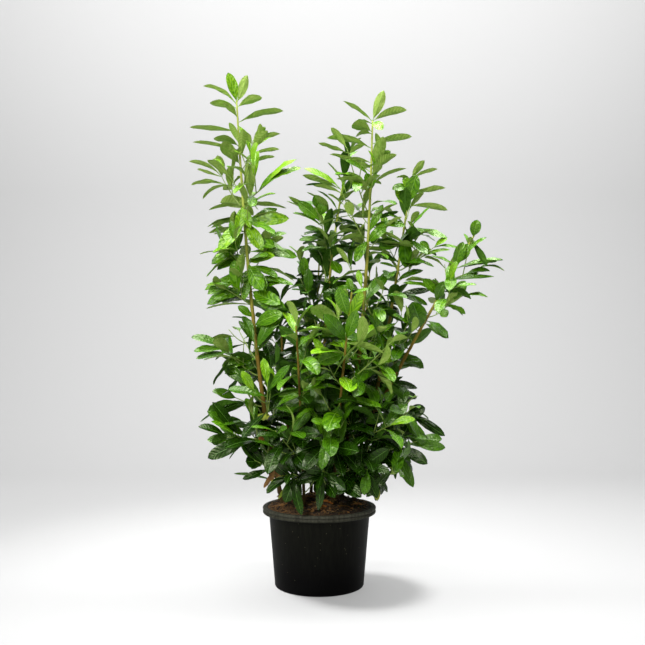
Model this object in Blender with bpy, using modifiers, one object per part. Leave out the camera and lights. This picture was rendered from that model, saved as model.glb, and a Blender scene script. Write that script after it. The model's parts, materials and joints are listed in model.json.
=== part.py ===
"""A potted cherry laurel, about 1.73 m tall: a black nursery pot, the soil in it, a clump of upright stems,
and the leafy shoots that the stems carry.

Metres, Z up. The origin is the centre of the pot's flat underside. X runs to the right and Y to the back, for
one who sees the tallest stem on the left.
"""

import math
import random
from collections import namedtuple

import bmesh
import bpy
from mathutils import Matrix, Vector
from mathutils.bvhtree import BVHTree

UP = Vector((0.0, 0.0, 1.0))

# The pot: a tapered wall under a rolled rim that stands out past it and has a groove round it.
POT_HEIGHT = 0.271
RIM_RADIUS = 0.195
RIM_HEIGHT = 0.014
RIM_WIDTH = 0.013
RIM_ROUND = 0.003
GROOVE_DEPTH = 0.0018
WALL_TOP_RADIUS = 0.173
WALL_BASE_RADIUS = 0.153
WALL = 0.003
FLOOR = 0.004
BASE_CORNER = 0.003
TURNS = 36

# The soil: a plug with a low mound on top, which starts just under the rim.
SOIL_EDGE = 0.262
MOUND_HEIGHT = 0.034
MOUND_RINGS = 7

# What neighbours leave between them where they meet.
CLEARANCE = 0.0003

# Each stem rises upright from foot, a place on the soil, bends towards knee and ends at tip. It is bare up to the
# height bare. Above that it is the stem of a mass: it carries leaves of the length leaf, some on short spurs.
Stem = namedtuple("Stem", "name foot knee tip bare radius leaf spurs seed")
STEMS = (
    Stem("stem_left", (-0.12, -0.05), (-0.222, -0.07, 0.64), (-0.28, -0.05, 1.65), 0.86, 0.0075, 0.15, 7, 19),
    Stem("stem_centre", (0.052, -0.03), (0.16, -0.03, 0.67), (0.182, -0.02, 1.59), 1.04, 0.0075, 0.138, 4, 1),
    Stem("stem_mid_back", (0.012, 0.04), (-0.006, 0.065, 0.985), (0.104, 0.08, 1.5), 0.94, 0.006, 0.132, 5, 18),
    Stem("stem_back", (-0.03, 0.08), (-0.016, 0.15, 0.845), (0.0, 0.205, 1.17), 0.72, 0.0055, 0.132, 4, 14),
    Stem("stem_right", (0.118, 0.01), (0.236, 0.04, 0.78), (0.32, 0.03, 1.405), 0.95, 0.007, 0.134, 4, 10),
    Stem("stem_front", (0.045, -0.085), (0.06, -0.16, 0.61), (0.104, -0.2, 0.985), 0.6, 0.005, 0.135, 3, 3),
    Stem("stem_front_left", (-0.05, -0.09), (-0.06, -0.14, 0.62), (-0.074, -0.18, 0.88), 0.52, 0.005, 0.13, 2, 15),
    Stem("stem_back_left", (-0.085, 0.06), (-0.13, 0.15, 0.6), (-0.15, 0.24, 0.99), 0.56, 0.0055, 0.13, 2, 20),
    Stem("stem_back_right", (0.08, 0.075), (0.15, 0.17, 0.64), (0.19, 0.25, 1.12), 0.6, 0.0055, 0.13, 3, 8),
)
TIP_RADIUS = 0.0016
LIMB_SIDES = 8
FOOT_FLARE = 1.25
FOOT_RISE = 0.006

# The bough leaves its stem at the height at, and leans far out.
Bough = namedtuple("Bough", "name parent at knee tip bare radius leaf spurs seed")
BOUGHS = (
    Bough(
        "bough_far_right", "stem_right", 0.6, (0.285, 0.015, 0.77), (0.53, -0.03, 1.2), 0.81, 0.0048, 0.126, 2, 17
    ),
)

# Each shoot leaves its parent at the height at and ends at tip. lift is how far its bend stands above the
# straight line between them, as a share of its length. A shoot on the top of a stem is one mass with that top.
Shoot = namedtuple("Shoot", "name parent at tip lift leaf spurs")
SHOOTS = (
    # On the left stem
    Shoot("left_fork", "stem_left_top", 1.36, (-0.222, -0.09, 1.5), -0.1, 0.115, 0),
    Shoot("left_fork_low", "stem_left_top", 1.3, (-0.15, -0.11, 1.37), 0.02, 0.12, 0),
    Shoot("left_branch", "stem_left_top", 1.29, (-0.335, -0.02, 1.4), -0.1, 0.12, 0),
    Shoot("left_high", "stem_left_top", 1.12, (-0.31, -0.1, 1.13), 0.02, 0.13, 0),
    Shoot("left_high_low", "stem_left_top", 0.96, (-0.3, -0.12, 1.0), 0.02, 0.13, 0),
    Shoot("left_side", "stem_left", 0.72, (-0.315, -0.1, 0.81), -0.12, 0.125, 0),
    Shoot("left_side_low", "stem_left", 0.615, (-0.305, -0.01, 0.65), -0.05, 0.122, 0),
    Shoot("left_front", "stem_left", 0.56, (-0.165, -0.19, 0.69), -0.1, 0.12, 1),
    Shoot("left_low", "stem_left", 0.5, (-0.305, -0.11, 0.515), 0.06, 0.12, 2),
    Shoot("left_low_back", "stem_left", 0.45, (-0.275, 0.02, 0.56), 0.0, 0.12, 1),
    Shoot("left_foot", "stem_left", 0.4, (-0.215, -0.11, 0.44), 0.05, 0.108, 0),
    # On the centre stem and the one behind it
    Shoot("centre_high", "stem_centre", 0.86, (0.215, -0.11, 1.01), -0.08, 0.12, 0),
    Shoot("centre_side", "stem_centre", 0.64, (0.185, -0.145, 0.86), -0.12, 0.12, 1),
    Shoot("centre_low", "stem_centre", 0.48, (0.225, -0.19, 0.56), 0.02, 0.12, 2),
    Shoot("centre_foot", "stem_centre", 0.4, (0.155, -0.185, 0.42), 0.06, 0.115, 1),
    Shoot("mid_back_side", "stem_mid_back", 0.82, (-0.065, 0.05, 1.12), -0.1, 0.12, 2),
    Shoot("mid_back_low", "stem_mid_back", 0.56, (-0.03, -0.11, 0.72), 0.0, 0.125, 1),
    # On the right stem and its bough
    Shoot("right_fork", "stem_right_top", 1.085, (0.395, 0.0, 1.16), -0.05, 0.098, 0),
    Shoot("right_inner", "stem_right", 0.72, (0.3, -0.06, 0.9), -0.08, 0.12, 1),
    Shoot("right_side", "stem_right", 0.52, (0.315, -0.13, 0.655), -0.05, 0.12, 1),
    Shoot("right_low_back", "stem_right", 0.48, (0.33, 0.06, 0.6), 0.0, 0.12, 1),
    Shoot("right_low", "stem_right", 0.43, (0.35, -0.08, 0.505), 0.04, 0.118, 1),
    Shoot("right_foot", "stem_right", 0.385, (0.265, -0.13, 0.415), 0.1, 0.115, 0),
    Shoot("far_right_fork", "bough_far_right_top", 1.05, (0.56, 0.015, 1.095), -0.03, 0.102, 0),
    Shoot("far_right_fork_low", "bough_far_right_top", 0.945, (0.49, -0.05, 0.99), 0.0, 0.108, 0),
    # On the front stems
    Shoot("front_fork", "stem_front_top", 0.69, (0.225, -0.225, 0.825), -0.05, 0.118, 0),
    Shoot("front_low", "stem_front", 0.47, (0.03, -0.235, 0.56), 0.02, 0.118, 1),
    Shoot("front_foot", "stem_front", 0.385, (0.01, -0.19, 0.415), 0.08, 0.112, 0),
    Shoot("front_left_side", "stem_front_left", 0.44, (-0.14, -0.2, 0.545), 0.0, 0.118, 1),
    Shoot("front_left_foot", "stem_front_left", 0.375, (-0.085, -0.185, 0.405), 0.1, 0.112, 0),
)

# More shoots fill the back of the clump, spread over it by the golden angle. Each stands out by so much to the
# side, to the back and upwards.
BACK_STEMS = ("stem_right", "stem_back_right", "stem_back", "stem_back_left", "stem_left")
BACK_SHOOTS = 11
BACK_LOWEST = 0.40
BACK_STEP = 0.037
BACK_REACH = (0.10, 0.17, 0.11)
BACK_LIFT = -0.06
BACK_LEAF = 0.128

# Twigs: a collar leads each one square out of its parent, as a multiple of its radius.
TWIG_RADIUS = 0.0024
TWIG_TIP_RADIUS = 0.0016
COLLAR = 1.7
BARE_SHARE = 0.20

# Spurs stand on a shoot between two shares of its length.
SPUR_LENGTH = 0.075
SPUR_LENGTH_RANGE = (0.8, 1.25)
SPUR_SPREAD = 1.3
SPUR_OUT = 0.85
SPUR_RISE = 0.35
SPUR_FIRST = 0.12
SPUR_LAST = 0.74
SPUR_LEAF = 0.92

# Leaves follow a twig from its tip down. Each is turned from the one before by the golden angle, stands upright
# by the tip and spreads within a short stretch below it. Leaves low on the plant hang more.
GOLDEN_ANGLE = math.radians(137.5)
LEAF_SPACING = 0.029
TIP_SPACING = 0.011
TIP_LEAVES = 4
TIP_ANGLE = math.radians(24)
LOW_ANGLE = math.radians(86)
TIP_STRETCH = 0.045
ANGLE_SCATTER = math.radians(9)
ROLL_SCATTER = math.radians(14)
FACE_UP = 0.35
HIGH_DROOP = 0.08
LOW_DROOP = 0.50
TIP_DROOP_SHARE = 0.4
DROOP_HEIGHTS = (0.30, 1.10)
YOUNG_LENGTH = 0.60
YOUNG_STRETCH = 0.050
LENGTH_RANGE = (0.88, 1.10)
LEAF_WIDTH = 0.335
WIDTH_RANGE = (0.92, 1.08)

# A leaf that would touch something is turned by so many degrees, and left out if it still would.
TURNS_TRIED = (0, 22, -22, 44, -44, 66, -66, 90, -90, 130, 180)
SEED = 4

# One leaf of length and width 1, along Y from its root, arched over a keel that is deepest by the root.
LEAF_BROADEST = 0.50
LEAF_ARCH = 0.075
KEEL_ALONG = 0.12
KEEL_DEPTH = 0.024
ROOT_DEPTH = 0.004
LEAF_MARGIN = 0.03


def remove_objects():
    """Empty the scene, so that the model is all that it holds."""
    for thing in list(bpy.data.objects):
        bpy.data.objects.remove(thing, do_unlink=True)


def new_collection(name):
    """A new collection in the scene."""
    made = bpy.data.collections.new(name)
    bpy.context.scene.collection.children.link(made)
    return made


def new_material(name, colour, roughness):
    """A plain Principled material."""
    made = bpy.data.materials.new(name)
    made.use_nodes = True
    shader = made.node_tree.nodes["Principled BSDF"]
    shader.inputs["Base Color"].default_value = (*colour, 1.0)
    shader.inputs["Roughness"].default_value = roughness
    return made


# The pot and its soil


def turned(name, profile, finish, home):
    """A body turned about Z from a profile of (radius, height) points that runs down its outer side."""
    mesh = bpy.data.meshes.new(name)
    points = [(radius, 0.0, height) for radius, height in profile]
    mesh.from_pydata(points, [(i, i + 1) for i in range(len(points) - 1)], [])
    mesh.materials.append(finish)
    body = bpy.data.objects.new(name, mesh)
    home.objects.link(body)
    screw = body.modifiers.new("Turn", "SCREW")
    screw.steps = TURNS
    screw.render_steps = TURNS
    screw.use_merge_vertices = True
    screw.merge_threshold = 0.0001
    return body


def inner_radius(height):
    """The inside radius of the pot's wall at a height."""
    share = height / (POT_HEIGHT - RIM_HEIGHT)
    return WALL_BASE_RADIUS + (WALL_TOP_RADIUS - WALL_BASE_RADIUS) * share - WALL


def make_pot(home):
    """The pot: floor, tapered wall and a rolled rim with a groove round it."""
    lip = POT_HEIGHT - RIM_HEIGHT
    groove = POT_HEIGHT - RIM_HEIGHT * 0.4
    inside = (
        (0.0, FLOOR),
        (inner_radius(FLOOR), FLOOR),
        (inner_radius(lip), lip),
        (RIM_RADIUS - RIM_WIDTH - RIM_ROUND, POT_HEIGHT - RIM_ROUND),
    )
    rim = (
        (RIM_RADIUS - RIM_WIDTH, POT_HEIGHT),
        (RIM_RADIUS - RIM_ROUND, POT_HEIGHT),
        (RIM_RADIUS, POT_HEIGHT - RIM_ROUND),
        (RIM_RADIUS - GROOVE_DEPTH, groove),
        (RIM_RADIUS, groove - RIM_ROUND),
        (RIM_RADIUS - GROOVE_DEPTH, lip),
    )
    outside = (
        (WALL_TOP_RADIUS, lip),
        (WALL_BASE_RADIUS, BASE_CORNER),
        (WALL_BASE_RADIUS - BASE_CORNER, 0.0),
        (0.0, 0.0),
    )
    finish = new_material("black_plastic", (0.008, 0.008, 0.007), 0.5)
    return turned("pot", inside + rim + outside, finish, home)


def mound(radius):
    """The soil's height at a distance from the pot's axis."""
    edge = inner_radius(SOIL_EDGE) - CLEARANCE
    return SOIL_EDGE + MOUND_HEIGHT * (1 - min(1.0, radius / edge) ** 2)


def make_soil(home):
    """The soil: a plug that fills the pot and rises in a mound."""
    edge = inner_radius(SOIL_EDGE) - CLEARANCE
    rings = [edge * i / MOUND_RINGS for i in range(MOUND_RINGS + 1)]
    bottom = FLOOR + CLEARANCE
    profile = [(radius, mound(radius)) for radius in rings]
    profile += [(inner_radius(bottom) - CLEARANCE, bottom), (0.0, bottom)]
    return turned("soil", profile, new_material("soil", (0.09, 0.05, 0.025), 0.95), home)


# The courses that stems, boughs and twigs follow


def bend(foot, knee, tip, share):
    """A point on the curve that leaves foot towards knee and comes to tip from it."""
    return foot * (1 - share) ** 2 + knee * (2 * share * (1 - share)) + tip * share**2


class Course:
    """The line that a stem, bough or twig follows, its radii, and the length of its leaves."""

    def __init__(self, points, radius, tip_radius, leaf):
        self.points = points
        self.radius = radius
        self.tip_radius = tip_radius
        self.leaf = leaf
        self.steps = [(b - a).length for a, b in zip(points, points[1:])]
        self.length = sum(self.steps)

    def place(self, distance):
        """The point and the direction at a distance from the foot."""
        last = len(self.steps) - 1
        for i, step in enumerate(self.steps):
            if distance <= step or i == last:
                along = (self.points[i + 1] - self.points[i]) / step
                return self.points[i] + along * distance, along
            distance -= step

    def at_height(self, height):
        """The distance from the foot at which the course first reaches a height."""
        gone = 0.0
        for a, b, step in zip(self.points, self.points[1:], self.steps):
            if a.z < height <= b.z:
                return gone + step * (height - a.z) / (b.z - a.z)
            gone += step
        return self.length

    def radius_at(self, distance):
        """The radius, which tapers evenly."""
        return self.radius + (self.tip_radius - self.radius) * distance / self.length

    def part(self, start, end):
        """The stretch of this course between two distances."""
        between = []
        gone = 0.0
        for point, step in zip(self.points[1:], self.steps):
            gone += step
            if start + TWIG_RADIUS < gone < end - TWIG_RADIUS:
                between.append(point)
        points = [self.place(start)[0], *between, self.place(end)[0]]
        return Course(points, self.radius_at(start), self.radius_at(end), self.leaf)


def across(along, turn):
    """The direction square to another one, at an angle round it."""
    side = along.cross(UP)
    if side.length < 0.05:
        side = along.cross(Vector((1.0, 0.0, 0.0)))
    side.normalize()
    return side * math.cos(turn) + along.cross(side) * math.sin(turn)


def stem_course(stem, bends=14):
    """A stem's whole course, from a level cut that rests on the soil at its uphill edge."""
    uphill = max(0.0, math.hypot(*stem.foot) - stem.radius * FOOT_FLARE)
    foot = Vector((*stem.foot, mound(uphill) + CLEARANCE))
    rise = foot + UP * FOOT_RISE
    curve = [bend(rise, Vector(stem.knee), Vector(stem.tip), i / bends) for i in range(bends + 1)]
    return Course([foot, *curve], stem.radius, TIP_RADIUS, stem.leaf)


def side_course(parent, at, tip, radius, tip_radius, leaf, lift=0.0, knee=None, bends=5):
    """The course of a bough or shoot that leaves another square to it, just clear of its surface."""
    distance = parent.at_height(at)
    place, along = parent.place(distance)
    out = tip - place
    out = (out - along * out.dot(along)).normalized()
    foot = place + out * (parent.radius_at(distance) + CLEARANCE)
    collar = foot + out * radius * COLLAR
    if knee is None:
        knee = (collar + tip) / 2 + UP * lift * (tip - collar).length
    curve = [bend(collar, knee, tip, i / bends) for i in range(bends + 1)]
    return Course([foot, *curve], radius, tip_radius, leaf)


def spur_courses(course, spurs, chance):
    """Short twigs that branch from a shoot by the golden angle."""
    made = []
    turn = chance.uniform(0.0, 2 * math.pi)
    for i in range(spurs):
        share = SPUR_FIRST + (SPUR_LAST - SPUR_FIRST) * (i + 0.5) / spurs
        place, along = course.place(course.length * share)
        turn += GOLDEN_ANGLE
        length = SPUR_LENGTH * chance.uniform(*SPUR_LENGTH_RANGE)
        out = (along + across(along, turn) * SPUR_SPREAD).normalized() * length
        tip = place + out * SPUR_OUT + UP * length * SPUR_RISE
        points = [bend(place, place + out / 2, tip, k / 2) for k in range(3)]
        made.append(Course(points, TWIG_RADIUS * 0.8, TWIG_TIP_RADIUS, course.leaf * SPUR_LEAF))
    return made


def with_spurs(course, bare, spurs, chance):
    """A shoot and its spurs, each as (course, the length of it that is bare)."""
    return [(course, bare)] + [(spur, spur.length * BARE_SHARE) for spur in spur_courses(course, spurs, chance)]


def split(whole, bare):
    """A limb up to the height where its leaves begin, and the leafy stretch above that."""
    distance = whole.at_height(bare)
    return whole.part(0.0, distance), whole.part(distance + CLEARANCE, whole.length)


def back_shoots(limbs):
    """Shoots for the back of the clump, spread over it by the golden angle."""
    made = []
    side_reach, back_reach, rise = BACK_REACH
    for i in range(BACK_SHOOTS):
        share = (i * GOLDEN_ANGLE / (2 * math.pi)) % 1.0
        parent = BACK_STEMS[int(share * len(BACK_STEMS))]
        height = min(BACK_LOWEST + BACK_STEP * i, limbs[parent].points[-1].z - SPUR_LENGTH / 2)
        place = limbs[parent].place(limbs[parent].at_height(height))[0]
        angle = math.radians(10 + 160 * share)
        aim = Vector((math.cos(angle) * side_reach, math.sin(angle) * back_reach, rise))
        made.append(Shoot(f"back_{i + 1:02d}", parent, height, tuple(place + aim), BACK_LIFT, BACK_LEAF, 1))
    return made


def plan():
    """Every limb's course, and every mass's seed and twigs, of which the first is its own stem."""
    chance = random.Random(SEED)
    limbs = {}
    masses = {}
    for stem in STEMS:
        limbs[stem.name], top = split(stem_course(stem), stem.bare)
        masses[stem.name + "_top"] = (stem.seed, with_spurs(top, 0.0, stem.spurs, random.Random(stem.seed)))
    for bough in BOUGHS:
        parent = limbs[bough.parent]
        whole = side_course(parent, bough.at, Vector(bough.tip), bough.radius, TIP_RADIUS, bough.leaf,
                            knee=Vector(bough.knee), bends=12)
        limbs[bough.name], top = split(whole, bough.bare)
        masses[bough.name + "_top"] = (bough.seed, with_spurs(top, 0.0, bough.spurs, random.Random(bough.seed)))
    for shoot in (*SHOOTS, *back_shoots(limbs)):
        joined = shoot.parent in masses
        parent = masses[shoot.parent][1][0][0] if joined else limbs[shoot.parent]
        tip = Vector(shoot.tip)
        course = side_course(parent, shoot.at, tip, TWIG_RADIUS, TWIG_TIP_RADIUS, shoot.leaf, shoot.lift)
        if joined:
            course.points[0] = parent.place(parent.at_height(shoot.at))[0]
        twigs = with_spurs(course, course.length * BARE_SHARE, shoot.spurs, chance)
        if joined:
            masses[shoot.parent][1].extend(twigs)
        else:
            masses["shoot_" + shoot.name] = (SEED, twigs)
    return limbs, masses


# Leaves

Leaf = namedtuple("Leaf", "root along normal length width")


def leaf_shape(margin):
    """One leaf: a ball of two points and one ring of three corners, whose lowest is the keel by the root."""
    shape = bmesh.new()
    bmesh.ops.create_uvsphere(shape, u_segments=3, v_segments=2, radius=1.0)
    root, *ring, tip = sorted(shape.verts, key=lambda v: v.co.z)
    keel, right, left = sorted(ring, key=lambda v: math.atan2(v.co.y, v.co.x))
    half = (1 + margin) / 2
    deep = margin / 4
    root.co = (0.0, -ROOT_DEPTH, 0.0)
    tip.co = (0.0, 1 + margin, 0.0)
    keel.co = (0.0, KEEL_ALONG, LEAF_ARCH * KEEL_ALONG / LEAF_BROADEST - KEEL_DEPTH - deep)
    right.co = (half, LEAF_BROADEST, LEAF_ARCH + deep)
    left.co = (-half, LEAF_BROADEST, LEAF_ARCH + deep)
    bmesh.ops.recalc_face_normals(shape, faces=shape.faces)
    mesh = bpy.data.meshes.new("leaf")
    shape.to_mesh(mesh)
    shape.free()
    return mesh


def leaf_matrix(leaf):
    """The matrix that sets the unit leaf at its place."""
    side = leaf.along.cross(leaf.normal)
    columns = (side * leaf.width, leaf.along * leaf.length, leaf.normal * leaf.length)
    return Matrix.Translation(leaf.root) @ Matrix(columns).transposed().to_4x4()


def leaf_at(course, distance, turn, chance):
    """One leaf on a twig."""
    place, along = course.place(distance)
    below_tip = course.length - distance
    spread = 1 - math.exp(-below_tip / TIP_STRETCH)
    angle = TIP_ANGLE + (LOW_ANGLE - TIP_ANGLE) * spread + chance.gauss(0.0, ANGLE_SCATTER)
    out = across(along, turn)
    low, high = DROOP_HEIGHTS
    lowness = min(1.0, max(0.0, (high - place.z) / (high - low)))
    droop = HIGH_DROOP + (LOW_DROOP - HIGH_DROOP) * lowness * (TIP_DROOP_SHARE + (1 - TIP_DROOP_SHARE) * spread)
    direction = (along * math.cos(angle) + out * math.sin(angle) - UP * droop).normalized()
    normal = along * math.sin(angle) - out * math.cos(angle) + UP * FACE_UP
    normal = (normal - direction * normal.dot(direction)).normalized()
    roll = chance.gauss(0.0, ROLL_SCATTER)
    normal = normal * math.cos(roll) + direction.cross(normal) * math.sin(roll)
    young = YOUNG_LENGTH + (1 - YOUNG_LENGTH) * min(1.0, below_tip / YOUNG_STRETCH)
    length = course.leaf * young * chance.uniform(*LENGTH_RANGE)
    width = length * LEAF_WIDTH * chance.uniform(*WIDTH_RANGE)
    return Leaf(place, direction, normal, length, width)


class Room:
    """What stands in the plant so far, so that what grows next keeps clear of it."""

    def __init__(self):
        self.held = []

    def add(self, owner, corners, faces):
        """Hold one more body."""
        tree = BVHTree.FromPolygons(corners, faces)
        self.held.append((owner, *self.box(corners), tree))

    def box(self, corners):
        """The lowest and the highest coordinates of a body."""
        return [min(c[i] for c in corners) for i in range(3)], [max(c[i] for c in corners) for i in range(3)]

    def is_clear(self, corners, faces, owner):
        """Whether a body touches nothing but what its owner holds."""
        low, high = self.box(corners)
        tree = BVHTree.FromPolygons(corners, faces)
        for other, other_low, other_high, other_tree in self.held:
            apart = any(low[i] > other_high[i] or high[i] < other_low[i] for i in range(3))
            if other is not owner and not apart and tree.overlap(other_tree):
                return False
        return True


def corners_and_faces(mesh):
    """A mesh's corners and faces as plain lists."""
    return [v.co.copy() for v in mesh.vertices], [tuple(f.vertices) for f in mesh.polygons]


def grow_leaves(course, bare, room, shapes, chance):
    """All the leaves of one twig, from its tip down to where it is bare."""
    (corners, faces), (wide_corners, _) = shapes
    leaves = []
    distance = course.length - TWIG_RADIUS
    turn = chance.uniform(0.0, 2 * math.pi)
    number = 0
    while distance > bare:
        seed = chance.random()
        for offset in TURNS_TRIED:
            leaf = leaf_at(course, distance, turn + math.radians(offset), random.Random(seed))
            matrix = leaf_matrix(leaf)
            if room.is_clear([matrix @ c for c in wide_corners], faces, course):
                leaves.append(leaf)
                room.add(None, [matrix @ c for c in corners], faces)
                break
        turn += GOLDEN_ANGLE
        number += 1
        distance -= TIP_SPACING + (LEAF_SPACING - TIP_SPACING) * min(1.0, number / TIP_LEAVES)
    return leaves


# Solids


def rod(name, course, sides, flare=1.0):
    """A tapered rod along a course, with so many sides and closed ends, as a mesh object."""
    curve = bpy.data.curves.new(name, "CURVE")
    curve.dimensions = "3D"
    curve.use_fill_caps = True
    spline = curve.splines.new("POLY")
    spline.points.add(len(course.points) - 1)
    gone = 0.0
    for point, place, step in zip(spline.points, course.points, [*course.steps, 0.0]):
        point.co = (*place, 1.0)
        point.radius = course.radius_at(gone) * (flare if gone < FOOT_RISE * 1.5 else 1.0)
        gone += step
    section = bpy.data.curves.new("section", "CURVE")
    section.dimensions = "2D"
    ring = section.splines.new("POLY")
    ring.points.add(sides - 1)
    ring.use_cyclic_u = True
    for i, point in enumerate(ring.points):
        angle = 2 * math.pi * i / sides
        point.co = (math.cos(angle), math.sin(angle), 0.0, 1.0)
    guide = bpy.data.objects.new("section", section)
    curve.bevel_mode = "OBJECT"
    curve.bevel_object = guide
    swept = bpy.data.objects.new(name, curve)
    for thing in (guide, swept):
        bpy.context.scene.collection.objects.link(thing)
    bpy.context.view_layer.update()
    graph = bpy.context.evaluated_depsgraph_get()
    mesh = bpy.data.meshes.new_from_object(swept.evaluated_get(graph))
    for thing in (guide, swept):
        bpy.data.objects.remove(thing)
    shape = bmesh.new()
    shape.from_mesh(mesh)
    bmesh.ops.remove_doubles(shape, verts=shape.verts, dist=0.00001)
    bmesh.ops.recalc_face_normals(shape, faces=shape.faces)
    shape.to_mesh(mesh)
    shape.free()
    return bpy.data.objects.new(name, mesh)


def make_limbs(limbs, home):
    """The stems and the bough, each one tapering limb."""
    bark = new_material("bark", (0.22, 0.13, 0.05), 0.8)
    made = []
    for name, course in limbs.items():
        limb = rod(name, course, LIMB_SIDES, FOOT_FLARE if name.startswith("stem") else 1.0)
        limb.data.materials.append(bark)
        home.objects.link(limb)
        made.append(limb)
    return made


def fuse(twigs, leaves, leaf_mesh, home):
    """Join a mass's leaves and side twigs to its own stem."""
    stem = twigs[0]
    home.objects.link(stem)
    parts = new_collection(stem.name + "_parts")
    for twig in twigs[1:]:
        parts.objects.link(twig)
    for leaf in leaves:
        mesh = leaf_mesh.copy()
        mesh.transform(leaf_matrix(leaf))
        parts.objects.link(bpy.data.objects.new("leaf", mesh))
    union = stem.modifiers.new("Join", "BOOLEAN")
    union.operation = "UNION"
    union.operand_type = "COLLECTION"
    union.collection = parts
    union.solver = "EXACT"
    bpy.context.view_layer.update()
    graph = bpy.context.evaluated_depsgraph_get()
    joined = bpy.data.meshes.new_from_object(stem.evaluated_get(graph))
    stem.modifiers.clear()
    stem.data = joined
    for thing in list(parts.objects):
        bpy.data.objects.remove(thing, do_unlink=True)
    bpy.data.collections.remove(parts)


def grow(home):
    """Make the pot, the soil, the limbs and the twigs, and grow leaves. Returns every mass as (twigs, leaves)."""
    limbs, masses = plan()
    room = Room()
    solids = [make_pot(home), make_soil(home), *make_limbs(limbs, home)]
    bpy.context.view_layer.update()
    graph = bpy.context.evaluated_depsgraph_get()
    for solid in solids:
        room.add(None, *corners_and_faces(solid.evaluated_get(graph).to_mesh()))
    foliage = new_material("foliage", (0.09, 0.25, 0.03), 0.4)
    rods = {}
    for name, (_, twigs) in masses.items():
        rods[name] = [rod(name, course, 3) for course, _ in twigs]
        for (course, _), twig in zip(twigs, rods[name]):
            twig.data.materials.append(foliage)
            room.add(course, *corners_and_faces(twig.data))
    shapes = [corners_and_faces(leaf_shape(margin)) for margin in (0.0, LEAF_MARGIN)]
    grown = []
    for name, (seed, twigs) in masses.items():
        chance = random.Random(f"{name} {seed}")
        leaves = [leaf for course, bare in twigs for leaf in grow_leaves(course, bare, room, shapes, chance)]
        grown.append((rods[name], leaves))
    return grown


def main():
    """Make the whole plant."""
    remove_objects()
    home = new_collection("cherry_laurel")
    leaf_mesh = leaf_shape(0.0)
    for twigs, leaves in grow(home):
        fuse(twigs, leaves, leaf_mesh, home)


if __name__ == "__main__":
    main()
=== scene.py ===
"""A potted cherry laurel in a pale studio.

It has a black nursery pot, compost with bark on it, a clump of upright stems and glossy evergreen leaves.
Metres, Z up. The origin is the centre of the pot's flat underside, and the camera looks along +Y. The stems,
shoots and leaves follow the growing rule of the solids that they stand for, carried on to finer twigs.
"""

import json
import math
from collections import namedtuple

import bpy
import numpy as np
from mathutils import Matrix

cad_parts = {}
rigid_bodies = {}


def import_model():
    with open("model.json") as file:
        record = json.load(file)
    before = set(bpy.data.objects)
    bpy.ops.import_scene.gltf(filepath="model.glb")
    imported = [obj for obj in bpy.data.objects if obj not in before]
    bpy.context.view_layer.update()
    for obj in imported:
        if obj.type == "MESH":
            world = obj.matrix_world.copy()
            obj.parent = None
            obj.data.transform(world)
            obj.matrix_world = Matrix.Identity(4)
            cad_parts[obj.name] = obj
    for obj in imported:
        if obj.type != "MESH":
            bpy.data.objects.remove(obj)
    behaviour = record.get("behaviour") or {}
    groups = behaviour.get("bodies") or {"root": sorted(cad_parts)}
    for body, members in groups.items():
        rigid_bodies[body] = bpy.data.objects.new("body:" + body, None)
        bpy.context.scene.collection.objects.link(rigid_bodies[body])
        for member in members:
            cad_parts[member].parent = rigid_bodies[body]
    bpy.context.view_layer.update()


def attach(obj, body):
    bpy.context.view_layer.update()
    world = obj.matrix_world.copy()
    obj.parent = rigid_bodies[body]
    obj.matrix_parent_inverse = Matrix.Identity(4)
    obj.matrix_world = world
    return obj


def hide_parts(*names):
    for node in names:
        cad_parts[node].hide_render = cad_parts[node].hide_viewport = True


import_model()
scene = bpy.context.scene

UP = np.array((0.0, 0.0, 1.0))
TURN = 2 * math.pi

# Pot and soil, as the solids have them, but the rim is taller here and the soil stands higher.
POT_HEIGHT = 0.271
RIM_RADIUS = 0.195
RIM_HEIGHT = 0.020
RIM_WIDTH = 0.013
RIDGE_SHARE = 0.28  # the radius of a ridge on the rim, as a share of the rim's height
WALL_TOP_RADIUS = 0.173
WALL_BASE_RADIUS = 0.153
WALL = 0.003
FLOOR = 0.004
BASE_CORNER = 0.003
HUB = 0.02  # the radius of the innermost ring of the pot's floor
SOIL_EDGE = 0.267
SOIL_RADIUS = 0.178
SOIL_GAP = 0.0006
MOUND_HEIGHT = 0.034
CRUMBS = ((0.030, 0.010), (0.010, 0.006), (0.004, 0.0025))  # how wide and how high, from coarse to fine
CRUMB_EDGE = 0.02  # the crumbs lie flatter over this width by the wall
CRUMB_LEAST = 0.15
LITTER_REACH = 0.93  # how far out litter lies, as a share of the soil's radius
BIT_SKEW = (-0.45, 0.25)  # how far the corners of a bit of litter are moved, as a share of its size

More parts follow.
